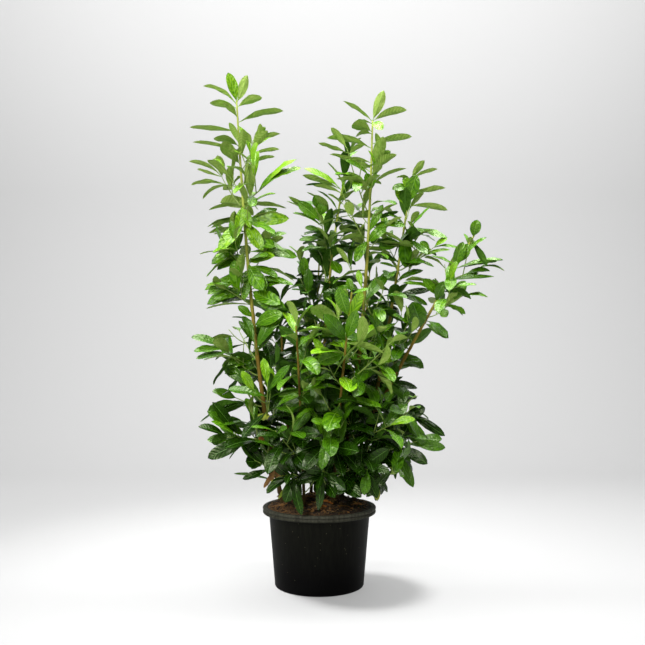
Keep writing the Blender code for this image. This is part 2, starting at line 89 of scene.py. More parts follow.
# Each stem rises upright from foot, bends towards knee and ends at tip. It is bare up to the height bare.
# Above that it carries leaves of the length leaf, some of them on short spurs.
Stem = namedtuple("Stem", "name foot knee tip bare radius leaf spurs seed")
STEM_ROWS = (
    ("stem_left", (-0.12, -0.05), (-0.222, -0.07, 0.64), (-0.28, -0.05, 1.65), 0.86, 0.0075, 0.15, 7, 85),
    ("stem_centre", (0.052, -0.03), (0.16, -0.03, 0.67), (0.182, -0.02, 1.59), 1.04, 0.0075, 0.138, 4, 14),
    ("stem_mid_back", (0.012, 0.04), (-0.006, 0.065, 0.985), (0.104, 0.08, 1.5), 0.94, 0.006, 0.132, 5, 32),
    ("stem_back", (-0.03, 0.08), (-0.016, 0.15, 0.845), (0.0, 0.205, 1.17), 0.72, 0.0055, 0.132, 4, 58),
    ("stem_right", (0.118, 0.01), (0.236, 0.04, 0.78), (0.32, 0.03, 1.405), 0.95, 0.007, 0.134, 4, 118),
    ("stem_front", (0.045, -0.085), (0.06, -0.16, 0.61), (0.104, -0.2, 0.985), 0.6, 0.005, 0.135, 3, 7),
    ("stem_front_left", (-0.05, -0.09), (-0.06, -0.14, 0.62), (-0.074, -0.18, 0.88), 0.52, 0.005, 0.13, 2, 10),
    ("stem_back_left", (-0.085, 0.06), (-0.13, 0.15, 0.6), (-0.15, 0.24, 0.99), 0.56, 0.0055, 0.13, 2, 43),
    ("stem_back_right", (0.08, 0.075), (0.15, 0.17, 0.64), (0.19, 0.25, 1.12), 0.6, 0.0055, 0.13, 3, 115),
)
STEMS = [Stem(*row) for row in STEM_ROWS]
TIP_RADIUS = 0.0026
TAPER = 1.6  # a limb keeps its girth low down and thins towards its tip
FOOT_FLARE = 0.25  # how much thicker a stem is at the soil, as a share of its radius
FLARE_HEIGHT = 0.03
FOOT_SUNK = 0.004
STEM_BENDS = 60
SIDE_BENDS = 18
SPUR_BENDS = 8
DIRECTION_STEP = 0.02  # a course's direction is taken over this share of its length to each side

# The bark: ridges along it and swollen scars where leaves stood, both as shares of the stem's radius.
STEM_SIDES = 14
STEM_RING_STEP = 0.006
RIDGES = 0.04
FINE_RIDGES = 0.03
SCARS = 0.30
SCAR_FIRST = 0.05
SCAR_SPACING = 1.6  # the distance between scars over that between leaves
SCAR_LENGTH = 0.006
SCAR_GRIP = 2.5  # the greater, the less far a scar goes round the stem

# The bough leaves its stem at the height at, and leans far out.
Bough = namedtuple("Bough", "name parent at knee tip bare radius leaf spurs seed")
BOUGHS = (
    Bough(
        "bough_far_right", "stem_right", 0.6, (0.285, 0.015, 0.77), (0.53, -0.03, 1.2),
        0.81, 0.006, 0.126, 2, 108,
    ),
)

# Each shoot leaves its parent at the height at and ends at tip. lift is how far its bend stands above
# the straight line between them, as a share of its length. A shoot on the top of a stem is one mass
# with that top.
Shoot = namedtuple("Shoot", "name parent at tip lift leaf spurs seed")
SHOOTS = (
    # On the left stem
    Shoot("left_fork", "stem_left_top", 1.36, (-0.222, -0.09, 1.5), -0.1, 0.115, 0, 70),
    Shoot("left_fork_low", "stem_left_top", 1.3, (-0.15, -0.11, 1.37), 0.02, 0.12, 0, 63),
    Shoot("left_branch", "stem_left_top", 1.29, (-0.335, -0.02, 1.4), -0.1, 0.12, 0, 43),
    Shoot("left_high", "stem_left_top", 1.12, (-0.31, -0.1, 1.13), 0.02, 0.13, 0, 25),
    Shoot("left_high_low", "stem_left_top", 0.96, (-0.3, -0.12, 1.0), 0.02, 0.13, 0, 60),
    Shoot("left_side", "stem_left", 0.72, (-0.315, -0.1, 0.81), -0.12, 0.125, 0, 24),
    Shoot("left_side_low", "stem_left", 0.615, (-0.305, -0.01, 0.65), -0.05, 0.122, 0, 77),
    Shoot("left_front", "stem_left", 0.56, (-0.165, -0.19, 0.69), -0.1, 0.12, 1, 24),
    Shoot("left_low", "stem_left", 0.5, (-0.305, -0.11, 0.515), 0.06, 0.12, 2, 24),
    Shoot("left_low_back", "stem_left", 0.45, (-0.275, 0.02, 0.56), 0.0, 0.12, 1, 30),
    Shoot("left_foot", "stem_left", 0.4, (-0.215, -0.11, 0.44), 0.05, 0.108, 0, 2),
    # On the centre stem and the one behind it
    Shoot("centre_high", "stem_centre", 0.86, (0.215, -0.11, 1.01), -0.08, 0.12, 0, 68),
    Shoot("centre_side", "stem_centre", 0.64, (0.185, -0.145, 0.86), -0.12, 0.12, 1, 45),
    Shoot("centre_low", "stem_centre", 0.48, (0.225, -0.19, 0.56), 0.02, 0.12, 2, 63),
    Shoot("centre_foot", "stem_centre", 0.4, (0.155, -0.185, 0.42), 0.06, 0.115, 1, 74),
    Shoot("mid_back_side", "stem_mid_back", 0.82, (-0.065, 0.05, 1.12), -0.1, 0.12, 2, 31),
    Shoot("mid_back_high", "stem_mid_back_top", 1.12, (0.0, 0.06, 1.3), -0.08, 0.115, 0, 45),
    Shoot("mid_back_low", "stem_mid_back", 0.56, (-0.03, -0.11, 0.72), 0.0, 0.125, 1, 22),
    Shoot("centre_fork", "stem_centre_top", 1.28, (0.094, -0.04, 1.49), -0.12, 0.11, 0, 102),
    Shoot("centre_fork_low", "stem_centre_top", 1.17, (0.072, -0.05, 1.35), -0.06, 0.12, 0, 7),
    # On the right stem and its bough
    Shoot("right_fork", "stem_right_top", 1.085, (0.395, 0.0, 1.16), -0.05, 0.098, 0, 48),
    Shoot("right_inner", "stem_right", 0.72, (0.3, -0.06, 0.9), -0.08, 0.12, 1, 81),
    Shoot("right_side", "stem_right", 0.52, (0.315, -0.13, 0.655), -0.05, 0.12, 1, 81),
    Shoot("right_low_back", "stem_right", 0.48, (0.33, 0.06, 0.6), 0.0, 0.12, 1, 27),
    Shoot("right_low", "stem_right", 0.43, (0.35, -0.08, 0.505), 0.04, 0.118, 1, 75),
    Shoot("right_foot", "stem_right", 0.385, (0.265, -0.13, 0.415), 0.1, 0.115, 0, 13),
    Shoot("far_right_fork", "bough_far_right_top", 1.05, (0.56, 0.015, 1.095), -0.03, 0.102, 0, 61),
    Shoot("far_right_fork_low", "bough_far_right_top", 0.945, (0.49, -0.05, 0.99), 0.0, 0.108, 0, 63),
    # On the front stems
    Shoot("front_fork", "stem_front_top", 0.69, (0.225, -0.225, 0.825), -0.05, 0.118, 0, 93),
    Shoot("front_low", "stem_front", 0.47, (0.03, -0.235, 0.56), 0.02, 0.118, 1, 77),
    Shoot("front_foot", "stem_front", 0.385, (0.01, -0.19, 0.415), 0.08, 0.112, 0, 89),
    Shoot("front_left_side", "stem_front_left", 0.44, (-0.14, -0.2, 0.545), 0.0, 0.118, 1, 21),
    Shoot("front_left_foot", "stem_front_left", 0.375, (-0.085, -0.185, 0.405), 0.1, 0.112, 0, 72),
)

# More shoots fill the back of the clump, spread over it by the golden angle. Each stands out by so much to
# the side, to the back and upwards, along an arc of so many degrees that starts at the right.
BACK_STEMS = ("stem_right", "stem_back_right", "stem_back", "stem_back_left", "stem_left")
BACK_SHOOTS = 11
BACK_LOWEST = 0.40
BACK_STEP = 0.037
BACK_REACH = (0.10, 0.17, 0.11)
BACK_START = 10
BACK_ARC = 160
BACK_LIFT = -0.06
BACK_LEAF = 0.128
BACK_SEED = 200

# A twig's course, how much of it is bare from its foot up, its seed, how much lighter its leaves are than
# their place makes them, and how much of its end is left to free leaves.
Twig = namedtuple("Twig", "course bare seed tone free")
TWIG_RADIUS = 0.0024
TWIG_TIP_RADIUS = 0.0012
TWIG_SIDES = 7
TWIG_RING_STEP = 0.012
TWIG_LEAST_RINGS = 6
COLLAR = 1.7
BARE_SHARE = 0.16

# Spurs that stand on stems and twigs.
SPUR_LENGTH = 0.075
SPUR_LENGTH_RANGE = (0.8, 1.25)
SPUR_SPREAD = 1.3
SPUR_OUT = 0.85
SPUR_RISE = 0.35
SPUR_FIRST = 0.12
SPUR_LAST = 0.74
SPUR_LEAF = 0.96
SPUR_RADIUS = 0.0019
MORE_SPURS = 1

# Spurs straight on the stems fill the clump from the soil up to the leafy tops. Their leaves are dealt darker
# tones, as painted shade deep in the clump.
FILL_LOWEST = 0.30
FILL_SPACING = 0.050
FILL_SEED = 300
FILL_PAINTED_SHADE = -0.8

# How much lighter or darker the leaves of a limb are than their place alone makes them.
TONES = {"stem_front": 0.9, "stem_mid_back": -0.5, "left_side_low": 0.4}

# Leaves follow a twig from its tip down. Each is turned from the one before by the golden angle, stands
# upright by the tip and spreads within a short stretch below it. Leaves low on the plant hang more.
GOLDEN_ANGLE = math.radians(137.5)
LEAF_SPACING = 0.022
TIP_SPACING = 0.010
TIP_LEAVES = 4
TIP_ANGLE = math.radians(24)
LOW_ANGLE = math.radians(84)
TIP_STRETCH = 0.045
ANGLE_SCATTER = math.radians(10)
TURN_SCATTER = 0.2
ROLL_SCATTER = math.radians(16)
FACE_UP = 0.8
HIGH_DROOP = 0.08
LOW_DROOP = 0.40
TIP_DROOP_SHARE = 0.4
DROOP_HEIGHTS = (0.30, 1.10)
YOUNG_LENGTH = 0.60
YOUNG_STRETCH = 0.050
LENGTH_RANGE = (0.88, 1.14)
LEAF_WIDTH = (0.34, 0.29)
LOW_LENGTH = 1.14  # how much longer the leaves are below the lower of WIDTH_HEIGHTS
WIDTH_HEIGHTS = (0.7, 1.3)
WIDTH_RANGE = (0.88, 1.10)

# Each blade is folded along its midrib, arches from end to end, twists and sways, all in radians, and its
# edges curl down and wave.
ARCH, ARCH_SCATTER = 0.70, 0.30
FOLD, FOLD_SCATTER = 0.34, 0.16
TWIST_SCATTER = 0.25
SWAY_SCATTER = 0.12
WAVE = 0.16
EDGE_WAVES = 2.3
EDGE_CURL = 0.49

# Heights between which the photograph shows a stem with no leaf before it, how far to each side it is clear,
# and how closely that is looked into: how near a leaf comes to a place on the stem and how many those are.
CLEARINGS = {"stem_left": (0.56, 1.30), "stem_centre": (0.98, 1.30), "bough_far_right": (0.72, 0.98)}
CLEARING = 0.012
CLEARING_LEVEL = 0.01
CLEARING_PLACES = 60
LEAF_SHARES = (0.2, 0.4, 0.6, 0.8, 1.0)  # the places along a leaf that are tried

CAMERA_DISTANCE = 2.588
CAMERA_HEIGHT = 0.756
CAMERA_SIDE = 0.0107

# Where the photograph shows sky between the leaves: each a place across and up, and a radius, in the plane
# of the pot's axis.
OPENINGS = (
    (-0.34, 0.92, 0.031), (-0.29, 0.95, 0.017), (-0.26, 0.8, 0.017), (-0.32, 0.7, 0.017),
    (-0.27, 0.67, 0.01), (-0.34, 0.62, 0.014), (-0.26, 0.6, 0.014), (-0.25, 0.56, 0.014), (-0.3, 0.5, 0.01),
    (-0.21, 0.46, 0.014), (-0.15, 0.38, 0.021), (-0.15, 0.32, 0.014), (-0.22, 0.33, 0.028),
    (-0.27, 0.4, 0.017), (-0.12, 0.55, 0.014), (-0.39, 1.29, 0.021), (-0.17, 1.43, 0.017),
    (-0.34, 1.55, 0.017), (0.14, 1.48, 0.014), (0.13, 1.42, 0.017), (0.24, 1.44, 0.021),
    (0.26, 1.39, 0.024), (0.23, 1.34, 0.021), (0.13, 1.33, 0.014), (0.03, 1.32, 0.017), (0.08, 1.3, 0.014),
    (0.01, 1.45, 0.014), (0.3, 1.28, 0.017), (0.27, 1.22, 0.014), (0.23, 1.08, 0.017), (0.07, 1.07, 0.014),
    (-0.05, 1.23, 0.021), (-0.09, 1.18, 0.017), (-0.09, 1.1, 0.021), (0.42, 1.25, 0.028),
    (0.36, 1.07, 0.014), (0.41, 1.08, 0.014), (0.46, 1.15, 0.017), (0.53, 1.14, 0.014), (0.38, 1.0, 0.014),
    (0.47, 0.89, 0.028), (0.42, 0.81, 0.028), (0.35, 0.81, 0.024), (0.36, 0.72, 0.021), (0.39, 0.67, 0.028),
    (0.39, 0.6, 0.014), (0.36, 0.54, 0.01), (0.4, 0.44, 0.017), (0.35, 0.37, 0.028), (0.25, 0.35, 0.017),
    (0.29, 0.31, 0.024), (0.32, 0.46, 0.01), (0.26, 0.51, 0.01), (0.2, 0.55, 0.014), (-0.04, 0.34, 0.014),
    (-0.27, 0.64, 0.017), (0.29, 0.34, 0.021), (-0.21, 0.28, 0.021),
)
# In the same plane, the height below which no leaf of the rule hangs in front of the axis.
HANGING_HEIGHT = 0.292

# Leaves given one by one after the photograph: at the tips, along the left stem, over the edges, low at the
# sides and on a few stems. Each gives the height of its root on its limb, how far its tip reaches to the
# right, rises and comes to the front, and its width, all in millimetres, and how much it faces the front in
# hundredths. One that faces the front less than not at all shows its underside.
FreeLeaf = namedtuple("FreeLeaf", "height reach rise front width face")
FREE_LEAVES = {
    "stem_left": (
        (1641, -26, 92, 25, 37, 80), (1641, 34, 100, -20, 34, -70), (1636, -113, 56, 20, 28, -20),
        (1626, 86, 26, 20, 34, -35), (1623, -85, 4, 40, 38, -35), (1591, -40, 30, 60, 28, -20),
        (1574, 155, 36, 10, 36, -20), (1543, -160, 10, 15, 36, -20), (1531, -34, 37, -60, 34, -20),
        (1492, -75, 5, 80, 36, -30), (1473, -157, 34, 0, 27, -20), (1429, -54, 50, 85, 44, -50),
        (1294, -112, -20, 20, 34, -20), (1290, 128, -8, 30, 40, -20), (1246, -125, -28, 10, 36, -20),
        (1236, -78, -110, 70, 52, 90), (1236, 130, 20, 30, 40, -20), (1205, -118, -12, 40, 36, -20),
        (1165, 100, -20, 60, 42, 50), (1160, -110, -70, 40, 44, 50), (1100, 75, 10, 80, 40, 40),
        (1100, 55, -98, 70, 50, 90), (1065, -145, -60, 20, 46, 50), (1040, 132, -10, 20, 42, 42),
        (1005, 105, -50, 60, 50, 90), (1000, -120, -30, 50, 46, 40), (958, -150, -15, 20, 30, 12),
        (885, 102, 40, 70, 48, 80), (1225, 150, 20, 20, 42, 70), (1239, 66, -104, 50, 44, 90),
        (1190, 131, -56, 30, 34, 50), (1176, 135, 23, 0, 30, 45), (1135, 168, -15, -10, 42, 50),
        (1097, 86, 24, 30, 36, 40), (1087, 102, -42, 30, 36, 50), (1094, 64, -95, 50, 50, 100),
        (1038, 151, -16, 20, 36, 40), (994, 121, -54, 50, 50, 90), (880, 109, 40, 50, 45, 70),
        (797, 63, 70, 30, 30, 60), (1204, -80, -94, 40, 52, 90), (1125, -98, -54, 30, 50, 60),
        (1069, -131, -79, 40, 44, 70), (1018, -131, -63, 30, 36, 50), (983, -98, -19, 30, 34, 40),
        (1239, -112, -24, 10, 26, -20), (1204, -106, -8, 0, 28, -20), (1059, -14, -88, 30, 28, 80),
        (900, -73, 16, 0, 24, 22), (821, -60, 83, -20, 26, 42), (776, -113, -25, 30, 40, 50),
        (746, -112, -21, 20, 36, 50), (529, -17, 43, 50, 32, 90), (468, 13, -40, 60, 45, 90),
        (1284, 29, -77, 40, 30, 90), (1294, -14, -98, 40, 34, 90), (1100, 94, 14, 50, 45, 80),
        (973, -99, -9, 0, 26, 40), (914, -49, 37, 20, 30, 70), (1007, 108, 20, 30, 32, 50),
    ),
    "left_fork": (
        (1500, 44, 40, 20, 24, -35), (1500, 92, 18, 20, 26, -35), (1490, -22, 30, 30, 24, -50),
        (1465, 60, 60, 40, 30, -35), (1455, 98, 17, 10, 21, -20), (1420, 92, 30, 10, 21, -20),
    ),
    "left_branch": (
        (1400, -112, 50, 10, 26, -20), (1400, -85, 30, -20, 24, -20), (1395, -12, 68, 30, 34, -60),
        (1370, -118, -4, 10, 32, -20),
    ),
    "left_fork_low": ((1356, 98, 79, 10, 36, 45), (1360, 104, 47, 0, 34, 40), (1331, 105, 71, 20, 36, 45)),
    "stem_centre": (
        (1590, 37, 99, 10, 36, -70), (1588, -100, 66, 10, 26, -20), (1588, 118, 36, 10, 34, -40),
        (1585, 30, -45, 60, 34, 70), (1580, -50, 22, -40, 26, -20), (1552, -72, 8, 50, 42, -35),
        (1545, -60, -27, 60, 30, -30), (1511, 135, 22, 10, 36, -22), (1437, 62, 38, 40, 34, -20),
        (1407, 84, 55, 50, 36, -35), (1366, 122, 58, 10, 34, -20), (1340, -85, 55, 60, 40, -30),
        (1204, 47, 91, 30, 30, 70), (1247, 99, 31, 0, 24, -20), (1224, 126, 4, 10, 34, 42),
        (1233, 130, -69, 0, 26, -20), (1394, -89, 57, 20, 26, 42), (1446, -87, 6, 0, 24, -20),
        (1354, -17, 49, 30, 30, 60), (1354, 20, 49, 30, 26, 50), (1181, -46, -79, 30, 34, 50),
        (1495, -154, 30, 20, 36, -30), (1413, -141, 60, 10, 32, -30), (1171, 66, 53, 30, 36, 80),
    ),
    "centre_fork": ((1490, -55, 65, 20, 28, -35), (1475, -100, 28, 20, 30, -20), (1470, 50, 20, 50, 28, -20)),
    "centre_fork_low": (
        (1350, -124, 64, 20, 36, 50), (1350, -127, 46, 0, 32, -20), (1335, -97, 20, 30, 30, -20),
        (1335, 20, 60, 50, 34, 50), (1256, -22, 48, 20, 34, -60),
    ),
    "stem_right": (
        (1405, 45, 60, 10, 30, -40), (1405, 90, 30, 10, 26, -20), (1400, -52, 5, 20, 26, -20),
        (1375, -66, -20, 50, 34, 70), (1350, 126, 22, 0, 30, -30), (1309, 138, -16, 10, 34, -20),
        (1264, -5, 100, 45, 42, -70), (1229, 144, -38, 40, 38, 42), (1224, -1, -134, 50, 50, 90),
        (1181, -85, -24, 60, 44, 80), (1113, -70, 18, 0, 26, 45), (1093, -64, 16, 10, 26, 45),
        (1076, -62, -24, 20, 32, 42), (961, 11, 73, 30, 45, -60), (1003, 113, -41, 20, 36, 40),
        (893, 82, -34, 0, 26, 32), (687, 139, -14, -20, 34, 60), (1314, 25, 93, 40, 50, 90),
        (1360, -24, 43, 20, 34, 60), (1306, -41, 62, 20, 36, 90), (1045, 95, 38, 20, 36, 50),
        (992, 128, 25, 0, 34, 50),
    ),
    "bough_far_right": (
        (1190, 8, 55, 30, 38, 90), (1180, 45, -90, 40, 32, -40), (1120, 80, 65, 40, 30, 45),
        (1085, 20, 85, 40, 38, 60), (1085, 155, 30, 10, 32, 45), (1045, 150, 10, 20, 28, 45),
        (998, -133, 37, 10, 30, 42), (988, -57, 60, 20, 32, 70), (985, -18, 65, 0, 28, 50),
        (899, 80, -52, 20, 34, 60), (823, 72, 56, -10, 50, -60), (807, -65, 33, 30, 36, 60),
        (765, 62, 3, 20, 30, 42), (748, 71, -7, 20, 28, 40), (1093, -85, 33, 10, 30, 42),
        (1101, 30, 63, 30, 40, 80), (879, -35, 90, 40, 66, 90), (971, 23, 69, 30, 34, 70),
    ),
    "left_side": ((810, -107, 36, 20, 38, 42), (805, -100, -6, 30, 36, 42), (795, -100, -20, 40, 36, 50)),
    "left_low": (
        (515, -90, 38, 30, 40, 40), (510, -100, 62, 20, 36, 50), (510, -136, -6, 0, 40, 60),
        (509, -137, -62, 30, 50, 70), (507, -86, -70, -20, 16, 12), (502, -43, -31, 50, 36, 100),
        (513, -89, 120, 30, 40, 50), (514, -93, 89, 20, 36, 50),
    ),
    "front_left_foot": (
        (405, 30, -125, 30, 30, 70), (400, -30, -85, 30, 42, 90), (383, -14, -85, 20, 30, 80),
    ),
    "front_foot": ((415, -12, -122, 30, 30, 60), (410, 65, -50, 50, 36, 70)),
    "front_low": ((551, -24, -122, 40, 36, 80),),
    "mid_back_low": ((715, 45, -125, 50, 52, 90),),
    "stem_front": (
        (985, -12, 45, 10, 24, 70), (980, 55, 15, 20, 24, 50), (905, -34, 95, 30, 44, 100),
        (900, 40, 85, 40, 34, 90), (835, 30, 90, 60, 40, 90), (830, -75, 85, 60, 46, 90),
        (790, -90, -30, 80, 46, 90), (634, -57, -142, 60, 56, 95), (627, -9, -122, 70, 52, 90),
    ),
    "left_side_low": (
        (650, -63, 15, 10, 28, 42), (640, -71, 29, 30, 34, 70), (628, -123, -29, 20, 26, 42),
        (630, -151, -70, 0, 18, 30), (628, -58, -20, 0, 30, 40), (624, -127, -38, 20, 26, 40),
    ),
    "left_low_back": ((477, -35, -77, 0, 50, -70),),
    "left_foot": ((405, -90, -32, 10, 30, 50), (432, -39, 5, 30, 45, 80)),
    "mid_back_high": (
        (1300, -15, 48, 30, 38, 80), (1281, 13, 39, 30, 36, 80), (1263, -114, 85, 0, 26, -20),
        (1259, -83, 69, 10, 40, 80), (1253, -123, 80, 0, 24, -20), (1244, -103, 45, 10, 34, 42),
        (1197, -91, -3, 10, 28, 45), (1169, -86, -8, 20, 40, 40), (1225, -64, 9, 20, 34, 50),
    ),
    "stem_mid_back": ((1297, -75, 78, 0, 18, 42), (1126, 28, -55, 50, 40, 70)),
    "right_fork": (
        (1160, 87, -5, 0, 18, 45), (1160, 44, 31, 10, 30, 42), (1151, -36, 28, 0, 28, 60),
        (1118, 57, -24, 10, 22, 45), (1114, 125, 42, -10, 18, 45), (1095, 64, 14, 30, 38, 50),
    ),
    "far_right_fork": (
        (1095, 78, 24, 0, 28, 45), (1095, 84, -14, 0, 18, 45), (1068, 82, 8, 20, 34, 50),
        (1056, 72, 15, 0, 18, 45),
    ),
    "far_right_fork_low": (
        (990, 81, -6, 0, 30, 40), (990, 53, 11, 0, 20, 12), (972, 38, 66, 20, 40, 70),
        (959, 69, -31, 10, 30, 40), (949, 25, -31, 20, 34, 50),
    ),
    "right_low_back": ((587, 121, -78, 50, 34, 80), (581, 63, 24, 30, 45, 80)),
    "right_low": (
        (495, 90, 12, 20, 36, 50), (492, 110, -13, 40, 36, 70), (477, 89, -52, 50, 42, 80),
        (469, 63, -122, 50, 40, 70),
    ),
    "mid_back_side": ((1058, -2, 72, 30, 36, 80), (996, -2, 96, 30, 34, 80)),
    "centre_foot": ((420, -12, -79, 30, 35, 60),),
    "right_foot": ((415, -93, -92, 20, 32, 80),),
}
# Leaves that have turned, low on the plant, given in the same way.
OLD_LEAVES = {
    "withered": {
        "stem_left": ((560, 24, -55, 30, 26, 80), (545, -20, -50, 40, 22, 50), (500, 34, -40, 50, 20, 40)),
    },
    "dead": {
        "stem_left": ((440, 0, -75, 40, 22, 70), (420, 30, -60, 50, 20, 50), (400, -35, -55, 30, 20, 40)),
        "stem_right": ((400, -30, -70, 90, 22, 60),),
    },
    "yellowing": {
        "stem_left": ((590, 0, -20, 60, 40, 70),),
        "right_foot": ((405, 0, -108, 20, 26, 80),),
        "front_left_foot": ((395, -85, -20, 20, 20, 60), (390, -66, -70, 20, 18, 60)),
    },
}
# How much of each limb's end carries free leaves only.
FREE_ENDS = {
    "stem_left": 0.80, "left_fork": 0.10, "left_branch": 0.12, "left_fork_low": 0.09, "stem_centre": 0.29,
    "centre_fork": 0.08, "centre_fork_low": 0.08, "stem_right": 0.18, "bough_far_right": 0.14,
    "right_fork": 0.15, "far_right_fork": 0.13, "far_right_fork_low": 0.13, "mid_back_high": 0.10,
    "left_side_low": 0.10, "left_low": 0.10, "right_low": 0.09, "stem_front": 0.12,
}
FREE_SEED = 400
FREE_AGE = 0.05
FREE_ARCH = 0.8  # how much these arch, as a share of the others
ARCH_STRETCH = 1.02  # a leaf's length over the straight line between its ends

# Fallen leaves on the soil: how many have turned in each way, how far out and how they lie, and their sizes.
FALLEN = {"withered": 5, "dead": 12, "yellowing": 0}
FALLEN_SEED = 500
FALLEN_REACH = 0.8
FALLEN_LIFT = 0.005
FALLEN_TILT = 0.35
FALLEN_FOLD = 2.5
FALLEN_LENGTH = (0.035, 0.070)
FALLEN_WIDTH = (0.25, 0.45)

# The tone of a leaf's place: painted light makes it lighter higher up and further forward, painted shade
# darker deep inside, and youth lighter near a tip.
TONE_SEED = 7
PAINTED_LIGHT_ORIGIN = (-0.05, 0.3)  # how far back and how high a place is neither lighter nor darker
PAINTED_LIGHT_HEIGHT = 0.75
PAINTED_LIGHT_FRONT = 1.6
TONE_SPRAY = 0.30
TONE_SCATTER = 0.10
TONE_YOUNG = 0.35
YOUNG_FADE = 0.025
PAINTED_SHADE_INSIDE = 0.55
INSIDE_RADIUS = 0.24
INSIDE_TOP = 0.60
INSIDE_FADE = 0.15
TONE_EDGES = (1.15, 0.80, 0.50, 0.25)  # between one tone and the next, the lightest first
PALE_BELOW = ("young", "bright", "green")


def linear(colour):
    """A colour given as sRGB hex, as linear RGBA."""
    value = np.array([int(colour[i : i + 2], 16) for i in (0, 2, 4)]) / 255
    curve = np.where(value <= 0.04045, value / 12.92, ((value + 0.055) / 1.055) ** 2.4)
    return (*curve, 1.0)


# Materials


def new_material(name):
    """A new Principled material, with its nodes and its shader."""
    made = bpy.data.materials.new(name)
    made.use_nodes = True
    return made, made.node_tree, made.node_tree.nodes["Principled BSDF"]


def add(tree, kind, settings=None, **links):
    """Add a node. Settings name its properties or inputs, and links give what feeds an input."""
    node = tree.nodes.new("ShaderNode" + kind)
    for name, value in (settings or {}).items():
        if name in node.inputs:
            node.inputs[name].default_value = value
        else:
            setattr(node, name, value)
    for name, source in links.items():
        tree.links.new(source, node.inputs[name.replace("_", " ")])
    return node


def calculate(tree, operation, *terms):
    """The result of an operation on terms, each a number or another node's output."""
    node = add(tree, "Math", {"operation": operation})
    for socket, term in zip(node.inputs, terms):
        if isinstance(term, float):
            socket.default_value = term
        else:
            tree.links.new(term, socket)
    return node.outputs[0]


def object_place(tree):
    """The place on the object, in metres."""
    return add(tree, "TexCoord").outputs["Object"]


def noise(tree, place, scale, detail, roughness=0.5):
    """Noise in 0..1, so many patches to the metre."""
    settings = {"Scale": scale, "Detail": detail, "Roughness": roughness}
    return add(tree, "TexNoise", settings, Vector=place).outputs["Fac"]


def streaks(tree, place, share, scale, detail):
    """Noise drawn out up and down, where it is only a share as fine."""
    drawn = add(tree, "Mapping", {"Scale": (1.0, 1.0, share)}, Vector=place).outputs["Vector"]
    return noise(tree, drawn, scale, detail)


def bump(tree, height, strength, distance):
    """Normals that follow a height."""
    settings = {"Strength": strength, "Distance": distance}
    return add(tree, "Bump", settings, Height=height).outputs["Normal"]


def ramp(tree, source, *stops):
    """A colour ramp with its stops, each (place, sRGB hex)."""
    node = add(tree, "ValToRGB", Fac=source)
    while len(node.color_ramp.elements) < len(stops):
        node.color_ramp.elements.new(0.5)
    for element, (place, colour) in zip(node.color_ramp.elements, stops):
        element.position = place
        element.color = linear(colour)
    return node.outputs["Color"]


def shade(tree, shader, **values):
    """Give each of the shader's own sockets a value, or the output that feeds it."""
    for name, value in values.items():
        socket = shader.inputs[name.replace("_", " ")]
        if isinstance(value, bpy.types.NodeSocket):
            tree.links.new(value, socket)
        else:
            socket.default_value = value


MOTTLE = 0.02  # a leaf's blade varies over about 20 mm
VEINS = 11  # side veins along a leaf of 130 mm, about 12 mm apart
VEIN_SLANT = 0.14  # how far towards the tip a side vein runs from midrib to edge, as a share of the leaf
VEIN_TINT = 0.30
QUILT_HEIGHT = 0.05


def leaf_finish(name, deep, light, roughness, coat, vein_depth, gloss=0.32):
    """Leathery leaf: a waxed blade, softly mottled and quilted between the side veins, which are paler."""
    made, tree, shader = new_material(name)
    place = add(tree, "TexCoord").outputs
    mottle = noise(tree, place["Object"], 1 / MOTTLE, 3.0)
    across, along, _ = add(tree, "SeparateXYZ", Vector=place["UV"]).outputs
    lead = calculate(tree, "MULTIPLY_ADD", calculate(tree, "ABSOLUTE", across), -VEIN_SLANT, along)
    wave = calculate(tree, "PINGPONG", lead, 0.5 / VEINS)
    tints = {"From Max": 0.5 / VEINS, "To Min": VEIN_TINT, "To Max": -VEIN_TINT}
    quilt = add(tree, "MapRange", tints, Value=wave).outputs["Result"]
    shade(
        tree,
        shader,
        Base_Color=ramp(tree, calculate(tree, "ADD", mottle, quilt), (0.1, deep), (0.9, light)),
        Normal=bump(tree, wave, vein_depth, QUILT_HEIGHT),
        Roughness=roughness,
        Specular_IOR_Level=gloss,
        Specular_Tint=linear("dcecb4"),
        Coat_Weight=coat,
        Coat_Roughness=0.2,
    )
    return made


def plain_finish(name, deep, light, roughness, grain):
    """A matt finish that varies between two colours over so many metres."""
    made, tree, shader = new_material(name)
    patches = noise(tree, object_place(tree), 1 / grain, 4.0)
    shade(tree, shader, Base_Color=ramp(tree, patches, (0.3, deep), (0.7, light)), Roughness=roughness)
    return made


# Leaf tones, brightest first: the youngest leaves at the tips are yellow-green, and the rest are lit and
# shaded copies of one green, so that those deep in the clump are dark with painted shade. Each has a darker
# and a lighter colour, its gloss and the depth of its veins. All are waxed and smooth.
LEAF_TONES = {
    "young": ("609410", "88b02c", 0.35, 0.20),
    "bright": ("407602", "8ab81e", 0.45, 0.45),
    "green": ("306002", "62940e", 0.55, 0.40),
    "deep": ("244c01", "48760a", 0.60, 0.35),
    "dark": ("0d2400", "204202", 0.40, 0.30),
}
UPPER = {
    tone: leaf_finish(f"laurel_leaf_{tone}", deep, light, 0.27, 0.15, vein_depth, gloss)
    for tone, (deep, light, gloss, vein_depth) in LEAF_TONES.items()
}
# The underside is matt and paler, with the same veins raised on it. Its darker copy, for the deep and dark
# tones, is painted shade.
UNDER_PALE = leaf_finish("laurel_underside_pale", "7c9c3c", "a0b85c", 0.6, 0.0, 0.5)
UNDER_PAINTED_SHADE = leaf_finish("laurel_underside_painted_shade", "325812", "4a7022", 0.6, 0.0, 0.5, 0.15)
